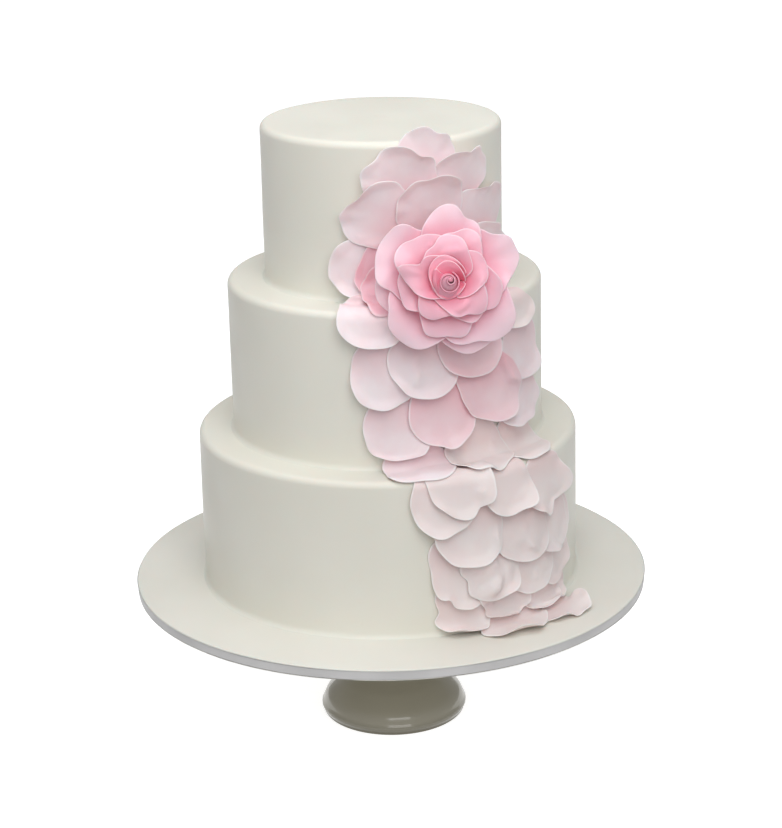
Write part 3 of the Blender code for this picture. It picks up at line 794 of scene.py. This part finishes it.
# %% Note down the cascade
PETALS = (
    ("board_2", 52.5, -15, 20, 43, 34, 2, 2.5, 200, "pale"),
    ("board_1", 35, -7.5, 6, 52, 41, 2, 2.0, 60, "pale"),
    ("bottom_16", 53.5, 14.7, 0, 38, 44, 3, 1.5, 10, "pale"),
    ("bottom_14", 48, 13, 3, 42, 47, 4, 1.5, 140, "pale"),
    ("bottom_12", 54.5, 38, -6, 44, 44, 4, 1.5, 80, "pale"),
    ("bottom_15", 20.8, 13.2, 8, 40, 51, 2, 2.0, 30, "pale"),
    ("bottom_9", 20.1, 44, 20, 42, 52, 5, 2.0, 190, "pale"),
    ("bottom_13", 34.6, 18, 6, 42, 46, 5, 2.0, 100, "pale"),
    ("bottom_11", 43.8, 40.5, -4, 44, 46, 5, 1.5, 250, "pale"),
    ("bottom_10", 29.8, 47.5, 8, 46, 51, 6, 1.5, 320, "pale"),
    ("bottom_8", 54.5, 63.2, 0, 45, 46, 4, 2.0, 40, "pale"),
    ("bottom_7", 51.7, 62.9, -8, 46, 46, 5, 1.5, 150, "pale"),
    ("bottom_6", 40.6, 64.7, -8, 46, 44, 6, 1.0, 220, "pale"),
    ("bottom_5", 23.4, 72.7, -8, 48, 48, 7, 1.2, 300, "pale"),
    ("bottom_4", 14.9, 97.5, 2, 42, 50, 5, 1.5, 20, "pale"),
    ("bottom_3", 51, 92, 0, 52, 42, 6, 2.5, 110, "pale"),
    ("bottom_2", 35.4, 100.8, 1, 43, 46, 7, 2.0, 260, "pale"),
    ("bottom_1", 19.2, 108, 15, 44, 51, 7, 2.0, 170, "pale"),
    # middle_12 and middle_7 take the palest paste as painted light: they lie on the ledge facing up,
    # where more light falls.
    ("middle_12", 50.3, 1, 5, 48, 51, 1, 1.2, 20, "pale"),
    ("middle_8", 10, -2, 0, 48, 46, 1, 0.8, 0, "blush"),
    ("middle_7", 32, 2, -3, 49, 56, 1, 0.8, 90, "pale"),
    ("middle_5", 3, 28, 5, 44, 51, 5, 1.2, 240, "blush"),
    ("middle_6", 19.6, 40, 3, 46, 50, 6, 1.5, 310, "pink"),
    ("middle_11", 53.7, 38.5, 1, 46, 44, 5, 2.0, 60, "blush"),
    ("middle_1", -1, 68.4, 6, 42, 50, 5, 2.0, 130, "blush"),
    ("middle_10", 55.2, 70, -5, 44, 45, 5, 1.2, 200, "blush"),
    ("middle_4", 37.6, 51, 6, 49, 49, 6, 1.0, 330, "pink"),
    ("middle_2", 13.2, 74.5, 2, 46, 49, 6, 1.0, 30, "blush"),
    ("middle_3", 30, 83, 0, 46, 46, 6, 1.0, 100, "pink"),
    ("middle_9", 50.5, 100.5, 0, 46, 33, 4, 1.5, 270, "pale"),
    ("top_8", -5.8, 20, -88, 50, 48, 4, 1.5, 60, "blush"),
    ("middle_0", -4.2, 110, -10, 44, 49, 7, 1.5, 150, "blush"),
    ("top_9", -0.2, 17, -82, 46, 34, 4, 1.0, 10, "rosy"),
    ("top_10", 1.5, -1, -82, 54, 32, 3, 1.0, 240, "rosy"),
    ("top_1", 21, 89.8, 178, 42, 48, 1, 1.5, 40, "blush"),
    ("top_3", 37.5, 76.6, 173, 42, 43, 5, 2.0, 290, "blush"),
    ("top_2", 9.1, 79, 191, 47, 51, 7, 3.0, 120, "blush"),
    ("top_6", 50, 52, 165, 46, 42, 3, 1.5, 20, "blush"),
    ("top_7", 54, 22, 130, 48, 46, 4, 1.2, 220, "blush"),
    ("top_4", -0.7, 58, 220, 46, 44, 6, 2.0, 350, "blush"),
    ("top_5", 21.3, 61, 178, 45, 46, 7, 1.5, 80, "blush"),
)
print(len(PETALS), "petals from", PETALS[0][0], "to", PETALS[-1][0])

# %% [markdown]
# No two edges of real petals are alike, because fingers pinch them as they are thinned and laid.
# This table says where: the angle round the petal from its free end, how many degrees the pinch
# spreads, and how far it pushes the edge outwards and upwards in millimetres. The numbers weren't
# chosen by eye. A separate program fitted them to the petals' outlines in the photo, which gives
# a closer likeness than noise would, but a table that is harder to read and to change.

# %% Note down the pinched edges
PINCHED = {
    "board_1": (
        (-63, 25, -1.9, 0), (-35, 22, -0.9, 0.5), (-11, 12, -3.5, 0), (2, 12, 3.4, 2.5),
        (37, 26, -0.1, 1), (84, 26, 1.7, 0),
    ),
    "board_2": (
        (-98, 18, 2.8, 0), (-77, 18, 0.8, 0), (-51, 23, -3.6, 0), (-15, 18, -2.1, 0.5), (5, 18, 1.8, 0),
        (31, 24, -0.3, 2.5), (68, 20, 1.7, 2), (90, 20, -2.8, 0),
    ),
    "bottom_1": (
        (-83, 26, -2.2, 0), (-47, 26, -3.4, 0), (-10, 16, 0.9, 0), (8, 11, 0, 0.5), (20, 11, -2.9, 0),
        (40, 18, 1.1, 1.5), (64, 21, -0.2, 1.5),
    ),
    "bottom_10": (
        (-101, 26, 0.6, 0), (-71, 11, -3.4, 0), (-58, 11, 1.4, 2), (23, 21, -0.7, 1.5), (66, 18, -3.1, 0),
    ),
    "bottom_11": ((66, 25, -0.5, 0),),
    "bottom_13": (
        (-107, 17, 4.5, 0), (-89, 17, -5, 0), (-55, 21, -2.5, 2), (-8, 21, 0.7, 0), (34, 26, -4.3, 0),
        (84, 26, -2.7, 0),
    ),
    "bottom_14": ((-67, 26, -3.6, 0), (-11, 24, -0.8, 0), (16, 24, 2.2, 0), (63, 26, -2, 0)),
    "bottom_15": (
        (-139, 18, 3.9, 0), (-119, 12, 1, 0), (-106, 12, -4.6, 0), (-48, 26, -4.3, 1.5),
        (-15, 21, -0.8, 0), (59, 26, -3.3, 2.5),
    ),
    "bottom_2": (
        (-60, 24, -0.5, 0), (-33, 20, -0.3, 2.5), (16, 24, -1.8, 0), (42, 24, 0.1, 2), (83, 21, -1.9, 0),
        (107, 21, -3.6, 0),
    ),
    "bottom_3": (
        (-52, 25, -1, 0), (-24, 19, -1.3, 2.5), (-3, 12, 3.9, 0), (11, 12, -3.5, -1), (33, 21, -2.3, 0),
        (70, 26, 0.7, 2), (109, 26, -3, 0),
    ),
    "bottom_4": ((-66, 23, -0.8, 1.2), (-12, 24, 0.9, 0), (16, 23, -1.1, 1), (42, 23, 2.2, 0)),
    "bottom_5": (
        (-79, 26, 1.2, 0), (-51, 25, -0.4, 1), (-3, 18, 0.2, 1.2), (65, 24, -0.9, 0), (92, 24, -1.6, 0),
    ),
    "bottom_6": ((19, 23, 0.7, 0), (45, 23, -0.2, 1.2), (96, 20, -2.5, 0)),
    "bottom_7": ((-13, 26, -2.5, -1), (17, 10, 1, 2.5), (25, 10, -1.7, -1), (54, 26, 1.1, 0)),
    "bottom_9": (
        (-153, 23, 2.2, 0), (-127, 17, 2.2, 0), (-109, 17, -2, 0), (-52, 10, -4.2, 0), (-21, 17, -1.1, 0),
        (-3, 17, 0.1, 2.5),
    ),
    "middle_0": (
        (-117, 26, 1.5, 0), (-75, 10, -2, 0), (-64, 10, -0.7, 0), (-39, 22, -1.6, 0), (-14, 22, 0.6, 1.5),
        (29, 17, 0.7, 0),
    ),
    "middle_1": (
        (-95, 19, -0.5, 0), (-75, 19, -0.5, 2), (-40, 26, -0.7, 0), (-7, 26, 0.6, 0), (42, 16, 0.1, -1),
    ),
    "middle_10": ((43, 26, 0.9, 0), (81, 24, -2.7, 0), (108, 24, 1, 0)),
    "middle_11": (
        (-63, 26, 2, 0), (-24, 24, 0.9, 0), (2, 24, -1.9, 0), (67, 26, 2.6, 0), (99, 26, -4.7, 0),
    ),
    "middle_12": ((-26, 13, 0.7, 0), (10, 15, 0.4, 1.5), (30, 18, -0.1, 0.5)),
    "middle_2": ((-106, 18, 1.1, 0), (-52, 26, -1.8, 1.5), (26, 23, 0.9, 1.5), (56, 26, -1.1, 0)),
    "middle_3": ((-41, 26, -0.8, 0), (22, 23, 1.7, 0), (47, 23, -1.4, 2)),
    "middle_4": (
        (-118, 19, 3.8, 0), (-97, 19, -1.3, 0), (-68, 26, -2.1, 1.5), (-31, 26, -1.5, 0),
        (8, 23, 0.4, 1.2), (33, 23, 1.9, 0), (59, 24, 1.2, 0),
    ),
    "middle_5": (
        (-107, 22, 0.6, 0), (-83, 22, -1.9, 0), (-40, 26, -4.1, 0), (-3, 26, 0.7, 0), (30, 26, -1.6, 0),
    ),
    "middle_6": (
        (-31, 19, -1, 0), (-10, 10, -0.9, 1), (1, 10, 1.4, 0), (12, 10, 0.2, 1.5), (32, 18, -1.6, 1.5),
        (64, 26, -1.2, 0),
    ),
    "middle_7": (
        (-105, 26, 2.2, 0), (-75, 26, -3.6, 0), (-24, 14, 0.9, 0), (-8, 14, -2.2, 0), (27, 18, -1.8, 0.8),
    ),
    "middle_8": (
        (-111, 26, 0.7, 0), (-72, 26, -2.1, 0), (-40, 13, 1.1, 0), (-25, 13, 0.9, 0), (-5, 18, -0.9, 0),
        (17, 15, 1.2, 0), (34, 15, 1.2, 0.5), (53, 17, 0.8, 0),
    ),
    "middle_9": ((7, 21, -0.6, 0), (76, 16, 1, 0), (107, 26, -4, 0)),
    "top_1": (
        (-71, 18, -0.6, 0), (-51, 15, -1.6, 0), (-34, 15, -0.3, 2), (-17, 15, -2.9, 0), (2, 16, 0.9, 0),
        (20, 14, 1.1, 1.5),
    ),
    "top_10": ((-80, 26, 0.5, 0), (-50, 26, 0, 2), (25, 19, 1.4, 0), (46, 11, 1.6, 1), (58, 11, 0.6, 0)),
    "top_2": (
        (-83, 15, -1.3, 0), (-39, 18, -4.3, 0), (-2, 12, 0.6, 0), (33, 15, -3, 1), (59, 12, 0.9, 1.5),
        (81, 10, -0.1, 2.5),
    ),
    "top_3": (
        (-115, 26, -3.5, 0), (-51, 20, 0.8, 0), (-21, 10, 3.1, 2), (-14, 10, -1, 0), (-5, 10, -2.8, 0.5),
        (13, 16, -2, 0), (34, 19, 1.1, 1.5),
    ),
    "top_4": (
        (-76, 13, -0.7, 0), (-61, 13, 0.6, 0), (-37, 16, 0.8, 1.5), (8, 22, -4.3, 0), (45, 11, 1, 2.5),
        (83, 26, 1.2, 0),
    ),
    "top_5": (
        (-84, 25, -0.6, 0), (-56, 25, 0.5, 0), (-29, 19, 0.7, 1.5), (8, 14, -2.3, 0), (35, 21, -1.5, 1.5),
        (58, 21, -1.4, 0), (91, 14, -0.1, 2), (107, 14, 1, 0),
    ),
    "top_6": (
        (-88, 17, 3.1, 0), (-69, 17, 2.6, 0), (-43, 23, 2.8, 0), (-11, 10, 0.8, 0), (0, 10, -1.6, 1.5),
        (25, 23, -4.5, 0), (53, 25, 0.8, 0.5),
    ),
    "top_7": ((-31, 23, 4.1, 0), (-5, 23, -1.3, 0), (39, 26, -2, 0), (73, 26, 1.5, 0)),
    "top_8": ((-38, 17, 0.8, 1.5), (-19, 17, 1.3, 0), (34, 20, -0.7, 1), (56, 20, 2.2, 0)),
    "top_9": ((-41, 19, -1.6, 0), (33, 23, 1.3, 0)),
}
print(sum(len(edge) for edge in PINCHED.values()), "pinches on", len(PINCHED), "petals")

# %% [markdown]
# Now each row becomes a petal, from the lowest one to the one laid last. Its small unevenness is
# drawn at random, but with its own number as the seed, so that it comes out the same every time.

# %% Lay the cascade
PETAL_SEED = 11


def lay_petal(number, row):
    name, angle, up, turn, wide, long, lift, wave, start, paste = row
    draws = np.random.default_rng(number + PETAL_SEED).uniform(0, 2 * np.pi, 5)
    push, rise = pinches(PINCHED.get(name, ()))
    across, along, free = petal_flat(wide, long, push, draws)
    own = petal_shape(free, lift, wave, start, draws) + rise
    swing = math.radians(turn)
    middle = FOOT_RUN[name.split("_")[0]] + up
    radius = skin(np.array([middle]))[0][0, 0]
    angles = math.radians(angle) + (across * math.cos(swing) + along * math.sin(swing)) / radius
    runs = middle + across * math.sin(swing) - along * math.cos(swing)
    place, away = on_cake(angles.ravel(), runs.ravel(), np.zeros(SHARE.size))
    beneath = height_beneath(place, away, laid_trees).reshape(SHARE.shape)
    height = cleared(np.maximum(own, PETAL_GAP), beneath)
    place = place.reshape(*SHARE.shape, 3)
    away = away.reshape(*SHARE.shape, 3)
    mesh, upper = sheet_mesh("petal_" + name + "_paste", place + away * height[..., None], away)
    remember(upper, laid_trees)
    store_grid(mesh, "free", free)
    store_grid(mesh, "share", SHARE)
    add_piece(mesh, PASTES[paste], "petal_paste", "petal_" + name)
    return height.max()


tallest = max(lay_petal(number, row) for number, row in enumerate(PETALS))
print(len(PETALS), "petals, the highest point", round(tallest, 1), "mm off the cake")

# %% [markdown]
# ## The rose
# A sugar rose is built round a cone of paste: a first petal is rolled tightly round it, three
# more close round that, and then rings of ever wider and more open petals. Each petal rises from
# the heart, opens outwards and rolls back at its edge. In the rose's own space the axis points up,
# so a petal is a disc bent by two rules, one for how its length leans out and one for how its
# width wraps round the heart. A turn and a tilt then set the whole rose in its place.

# %% The rose's own space
ROSE_ANGLE, ROSE_OUT, ROSE_RISE = 20.8, 111, 235.4
ROSE_FACES, ROSE_TILT = 2.5, 15.2


def behind_rose(out, height):
    """A place at the rose's angle round the cake, in mm."""
    angle = math.radians(ROSE_ANGLE)
    return Vector((out * math.sin(angle), -out * math.cos(angle), height))


def rose_frame():
    """Turns the rose's own space, in mm with its face towards +Z, into its place, also in mm."""
    origin = behind_rose(ROSE_OUT, ROSE_RISE + BOARD_TOP)
    stand_up = Matrix.Rotation(math.radians(90 - ROSE_TILT), 4, "X")
    return Matrix.Translation(origin) @ Matrix.Rotation(math.radians(ROSE_FACES), 4, "Z") @ stand_up


ROSE_PLACE = np.array(rose_frame())


def into_place(points):
    return points @ ROSE_PLACE[:3, :3].T + ROSE_PLACE[:3, 3]


print("rose faces", ROSE_FACES, "degrees round and", ROSE_TILT, "degrees up")

# %% [markdown]
# The rose's paste is a strong pink in the heart that fades outwards. The root of each petal is painted
# a deeper pink, as painted shade where the petals overlap, so the root is richer than the edge, and the
# thin rim is painted paler, as a painted highlight. The number "heart" on the mesh is 1 at the rose's
# axis and 0 at the outermost edge; the cone in the middle keeps 0.75 and the bud 0.5.

# %% Pink rose paste
def rose_paste():
    finish, shader = new_finish("pink rose paste", 0.46, scatter=0.3)
    heart, free, share = (stored_value(finish, value) for value in ("heart", "free", "share"))
    colour = mix_colour(finish, between(finish, heart, 0.0, 0.5), (253, 219, 229), (250, 190, 206))
    colour = mix_colour(finish, between(finish, heart, 0.45, 1.0), colour, (236, 104, 134))
    cloudy = between(finish, noise_value(finish, 60, 3), 0.35, 0.7, 0.0, 0.25)
    colour = mix_colour(finish, cloudy, colour, (249, 198, 211))
    # Painted shade: the root of each petal is a deeper pink.
    throat_shade = between(finish, free, 0.35, 0.9, 0.38, 0.0)
    colour = mix_colour(finish, throat_shade, colour, (242, 142, 168))
    # Painted highlight: the thin rim is paler.
    rim = between(finish, share, 0.95, 1.0, 0.0, 0.65)
    colour = mix_colour(finish, rim, colour, (254, 222, 231))
    return rolled_thin(finish, shader, colour, 0.4, 0.54)


ROSE_PASTE = rose_paste()
print("finish", ROSE_PASTE.name)

# %% [markdown]
# The rows of the rose go from the back to the front: the clock direction of a petal in degrees,
# how far its free edge reaches, its width, how far forward its root and its free edge stand, the
# radius that its width wraps round, and the depth of its waves. A second table tells where an
# edge was pinched, as for the cascade, by the number of the row.

# %% Note down the rose
ROSE_PETALS = (
    (32, 37, 44, 1, 7, 60, 1.5),
    (-100, 45, 44, 1, 7, 60, 1.5),
    (152, 49, 46, 1, 8, 60, 1.5),
    (-138, 48, 50, 2, 13, 50, 1.5),
    (138, 49, 52, 2, 13, 50, 2.0),
    (66, 46, 50, 3, 14, 45, 2.0),
    (-64, 48, 50, 3, 16, 50, 1.5),
    (6, 47, 38, 4, 17, 40, 1.5),
    (183, 38, 38, 4, 20, 40, 1.0),
    (-102, 33, 38, 5, 23, 30, 1.0),
    (118, 35, 42, 5, 23, 30, 1.5),
    (22, 33, 36, 6, 26, 30, 1.0),
    (-49, 37, 40, 6, 26, 30, 1.0),
    (-153, 27, 34, 8, 30, 20, 0.8),
    (137, 28, 36, 8, 31, 20, 1.2),
    (65, 25, 34, 10, 33, 18, 0.5),
    (-6, 28, 34, 10, 33, 20, 0.5),
    (-81, 29, 30, 11, 33, 20, 1.5),
    (-30, 16, 28, 14, 35.5, 13, 0.6),
    (-16, 12, 26, 16, 36, 10, 0.4),
    (-155, 12.5, 26, 14, 31, 12, 0.5),
)
ROSE_PINCHED = {
    2: ((20, 16, 2.0, 1.5), (-30, 18, -1.5, 1.0)),
    3: ((-25, 20, 2.0, 0.5), (38, 14, -2.5, 1.5)),
    4: ((-18, 20, 2.5, 1.0), (28, 14, -2.5, 2.0), (58, 14, 1.5, 0.0)),
    5: ((-34, 12, -2.5, 1.0), (-12, 10, 2.5, 2.5), (10, 10, 1.5, -1.0), (45, 14, -2.0, 1.0)),
    6: ((38, 12, 2.0, 2.0), (62, 12, -2.0, 0.0), (-40, 12, 2.5, 2.0), (-62, 14, -2.5, 0.0)),
    7: ((-8, 22, 0.6, 1.5), (26, 16, -3.5, 1.0), (50, 14, 1.5, 0.5)),
    8: ((0, 16, -3.0, 1.0), (-32, 12, 2.0, 0.0), (34, 12, 2.5, 0.5)),
    9: ((-30, 12, 2.5, 2.0), (0, 16, -2.0, 0.5), (40, 14, 1.0, 1.0)),
    10: ((22, 12, -3.0, 1.5), (44, 10, 2.5, 1.0), (-30, 14, 1.5, 0.5)),
    11: ((-20, 14, -2.0, 1.0), (20, 14, 1.5, 1.5)),
    12: ((-30, 14, 2.0, 2.0), (15, 16, -2.5, 0.5)),
    13: ((25, 14, 1.5, 0.5), (-25, 14, -1.5, 1.0)),
    14: ((-5, 14, 1.5, 0.5), (22, 12, -2.5, 1.5), (46, 12, 2.0, 1.0)),
    15: ((-20, 16, 1.0, 0.0), (32, 14, 2.0, 1.0)),
    16: ((-26, 14, -2.5, 0.5), (34, 14, 2.0, 0.5)),
    17: ((10, 10, 3.5, 3.0), (36, 14, -4.0, 1.0), (-30, 16, -2.0, 1.0)),
}
print(len(ROSE_PETALS), "petals in the rose,", len(ROSE_PINCHED), "of them pinched")

# %% [markdown]
# The disc of each row is bent: its length leans out and its width wraps round the heart. Its free
# edge rolls back, its sides cup forwards, and its rim waves. A bent sheet has no plain upright
# direction, so its normals are worked out from neighbouring points, for the thickness.

# %% Bend a rose petal
ROSE_WIDEST, ROSE_ROLL, ROSE_CUP = 50, 2.0, 2.5
ROSE_RAGGED = ((0.022, 3), (0.016, 5), (0.010, 8))


def rose_sheet(row, push, draws):
    """The grid of one rose petal in the rose's own space, and how free each of its points is."""
    clock, reach, wide, root, rise, wrap, wave = row
    wobble = 1 + 2 * push / wide + ragged(ROSE_RAGGED, draws)
    across = wide / 2 * SHARE * np.sin(ROUND) * (1 + 0.2 * np.cos(ROUND)) * wobble
    free = 0.5 + 0.5 * SHARE * np.cos(ROUND) * wobble
    steepness = 1.7 - 0.7 * reach / ROSE_WIDEST
    out = reach * np.clip(free, 0, None) ** steepness - wrap * (1 - np.cos(across / wrap))
    side = wrap * np.sin(across / wrap)
    roll = ROSE_ROLL * np.clip((free - 0.75) / 0.25, 0, None) ** 2
    cup = ROSE_CUP * (2 * across / wide) ** 2 * free
    ripple = wave * SHARE**3 * np.cos(3 * ROUND + math.radians(clock)) * free
    forward = root + (rise - root) * (1 - np.clip(1 - free, 0, None) ** 2.2) - roll + cup + ripple
    turn = math.radians(clock)
    x = out * math.sin(turn) + side * math.cos(turn)
    y = out * math.cos(turn) - side * math.sin(turn)
    return np.stack([x, y, forward], -1), free


def sheet_normals(grid):
    """Directions out of a bent disc, from its own neighbours in the rings and sectors."""
    rings = np.gradient(grid, axis=0)
    sectors = np.roll(grid, -1, 1) - np.roll(grid, 1, 1)
    normals = np.cross(rings, sectors)
    normals[0] = normals[1].mean(0)
    normals /= np.linalg.norm(normals, axis=-1, keepdims=True)
    return normals * np.sign(normals[..., 2].mean())


print("the widest rose petals reach about", ROSE_WIDEST, "mm from the axis")

# %% [markdown]
# The petals are built from the back to the front. Each is pushed forward, along the rose's axis,
# where it would pass through one behind it, by the same rule as in the cascade. Small inner
# petals are frilled less, because they would look torn.

# %% Build the rose's petals
ROSE_SEED, ROSE_SPACING = 71, 1.0
ROSE_FRILL, FULL_FRILL_REACH = 0.7, 40
rose_trees = []


def build_rose_petal(number, row):
    draws = np.random.default_rng(number + ROSE_SEED).uniform(0, 2 * np.pi, 4)
    push, rise = pinches(ROSE_PINCHED.get(number, ()))
    grid, free = rose_sheet(row, push, draws)
    frill = np.cos(5 * ROUND + draws[3]) + 0.6 * np.cos(9 * ROUND + draws[2])
    depth = min(1.0, row[1] / FULL_FRILL_REACH) * ROSE_FRILL
    grid[..., 2] += rise + depth * SHARE**5 * frill * free
    forward = np.tile([0.0, 0.0, 1.0], (SHARE.size, 1))
    beneath = height_beneath(grid.reshape(-1, 3), forward, rose_trees).reshape(SHARE.shape)
    grid[..., 2] = cleared(np.zeros(SHARE.shape), beneath, rounds=10) + grid[..., 2]
    away = sheet_normals(grid) @ ROSE_PLACE[:3, :3].T
    mesh = sheet_mesh(f"rose_petal_{number + 1}", into_place(grid), away)[0]
    remember(points_of(grid + [0, 0, ROSE_SPACING]), rose_trees)
    reach = np.linalg.norm(grid[..., :2], axis=-1)
    store_grid(mesh, "heart", 1 - np.clip(reach / ROSE_WIDEST, 0, 1))
    store_grid(mesh, "free", free)
    store_grid(mesh, "share", SHARE)
    add_piece(mesh, ROSE_PASTE, "rose_paste", "rose")
    return grid[..., 2].max()


front = max(build_rose_petal(number, row) for number, row in enumerate(ROSE_PETALS))
print(len(ROSE_PETALS), "rose petals, front edge", round(front, 1), "mm forward")

# %% [markdown]
# The heart is the cone that all this is built on, and it is pressed onto a knob of pale paste in
# the corner of the step, where the knob hardly shows against the tier. Both are round, so they
# are turned like the tiers, and the heart is then tilted into its place.

# %% Heart and knob
KNOB, KNOB_GAP = 16, 0.5
HEART = (
    (0, 43.1), (1.2, 42.4), (2, 40), (2.4, 36), (3.6, 29), (7.5, 19), (12, 8), (13, 1), (11, 0), (0, 0),
)
# Painted light: the bud takes a paler pink than the cone, against the shade in its tight roll.
HEART_PINK, BUD_PINK = 0.75, 0.5
knob_mesh = revolve("rose_knob", arc((0, 0), KNOB, 90, -90, 18), 40)
knob_off = KNOB + KNOB_GAP
knob_place = behind_rose(TIER_RADIUS["top"] + knob_off, TIER_HIGH["middle"] + knob_off)
knob_mesh.transform(Matrix.Translation(knob_place * MM))
add_piece(knob_mesh, PASTES["pale"], "petal_paste", "rose")

heart_mesh = revolve("rose_heart", smooth_outline(HEART, 4), 48)
for step in (Matrix.Scale(1 / MM, 4), rose_frame(), Matrix.Scale(MM, 4)):
    heart_mesh.transform(step)
store(heart_mesh, "heart", [HEART_PINK] * len(heart_mesh.vertices))
add_piece(heart_mesh, ROSE_PASTE, "rose_paste", "rose")
print("heart and knob:", len(heart_mesh.polygons) + len(knob_mesh.polygons), "faces")

# %% [markdown]
# The bud is the first petal, rolled round the heart. It is a cone too: the roll is tight at the
# tip and its top edge winds down round the outside. The tip leans off its foot, as the last
# squeeze of the fingers leaves it.

# %% Roll the bud
BUD_TIP, BUD_FOOT, BUD_WINDS_DOWN = 43, 17, 9.5
BUD_TURNS, BUD_START, BUD_STEPS, BUD_ROWS = 2.3, 0.6, 150, 16
BUD_THICK, BUD_LEAN = 0.75, (0.18, 0.28)
BUD_TIP_RADIUS, BUD_SLOPE, BUD_LOOSENS, BUD_FLARE = 0.4, 0.5, 1.9, 1.3


def bud_mesh():
    """A sheet rolled into a cone, with a top edge that winds down round the outside."""
    inner, outer = [], []
    for k in range(BUD_STEPS + 1):
        share = k / BUD_STEPS
        angle = 2 * math.pi * BUD_TURNS * share + BUD_START
        top = BUD_TIP - BUD_WINDS_DOWN * share**1.5
        for j in range(BUD_ROWS + 1):
            rise = j / BUD_ROWS
            height = BUD_FOOT + (top - BUD_FOOT) * rise
            below = BUD_TIP - height
            flare = BUD_FLARE * share * max(0.0, (rise - 0.75) / 0.25) ** 2
            for side, thick in ((inner, 0.0), (outer, BUD_THICK)):
                radius = BUD_TIP_RADIUS + BUD_SLOPE * below + BUD_LOOSENS * share + flare + thick
                x = radius * math.cos(angle) - BUD_LEAN[0] * below
                y = radius * math.sin(angle) - BUD_LEAN[1] * below
                side.append((x, y, height))
    count = len(inner)
    width = BUD_ROWS + 1
    faces = []
    for k in range(BUD_STEPS):
        for j in range(BUD_ROWS):
            a = k * width + j
            faces.append((a, a + 1, a + width + 1, a + width))
            faces.append((count + a, count + a + width, count + a + width + 1, count + a + 1))
        for j in (0, BUD_ROWS):
            a = k * width + j
            rim = (a, a + width, count + a + width, count + a)
            faces.append(rim if j else rim[::-1])
    for first, flip in ((0, False), (BUD_STEPS * width, True)):
        for j in range(BUD_ROWS):
            a = first + j
            end = (a, count + a, count + a + 1, a + 1)
            faces.append(end[::-1] if flip else end)
    mesh = bpy.data.meshes.new("rose_bud")
    mesh.from_pydata(into_place(np.array(inner + outer)) * MM, [], faces)
    return mesh


bud = bud_mesh()
store(bud, "heart", [BUD_PINK] * len(bud.vertices))
add_piece(bud, ROSE_PASTE, "rose_paste", "rose")
print("bud", len(bud.polygons), "faces")
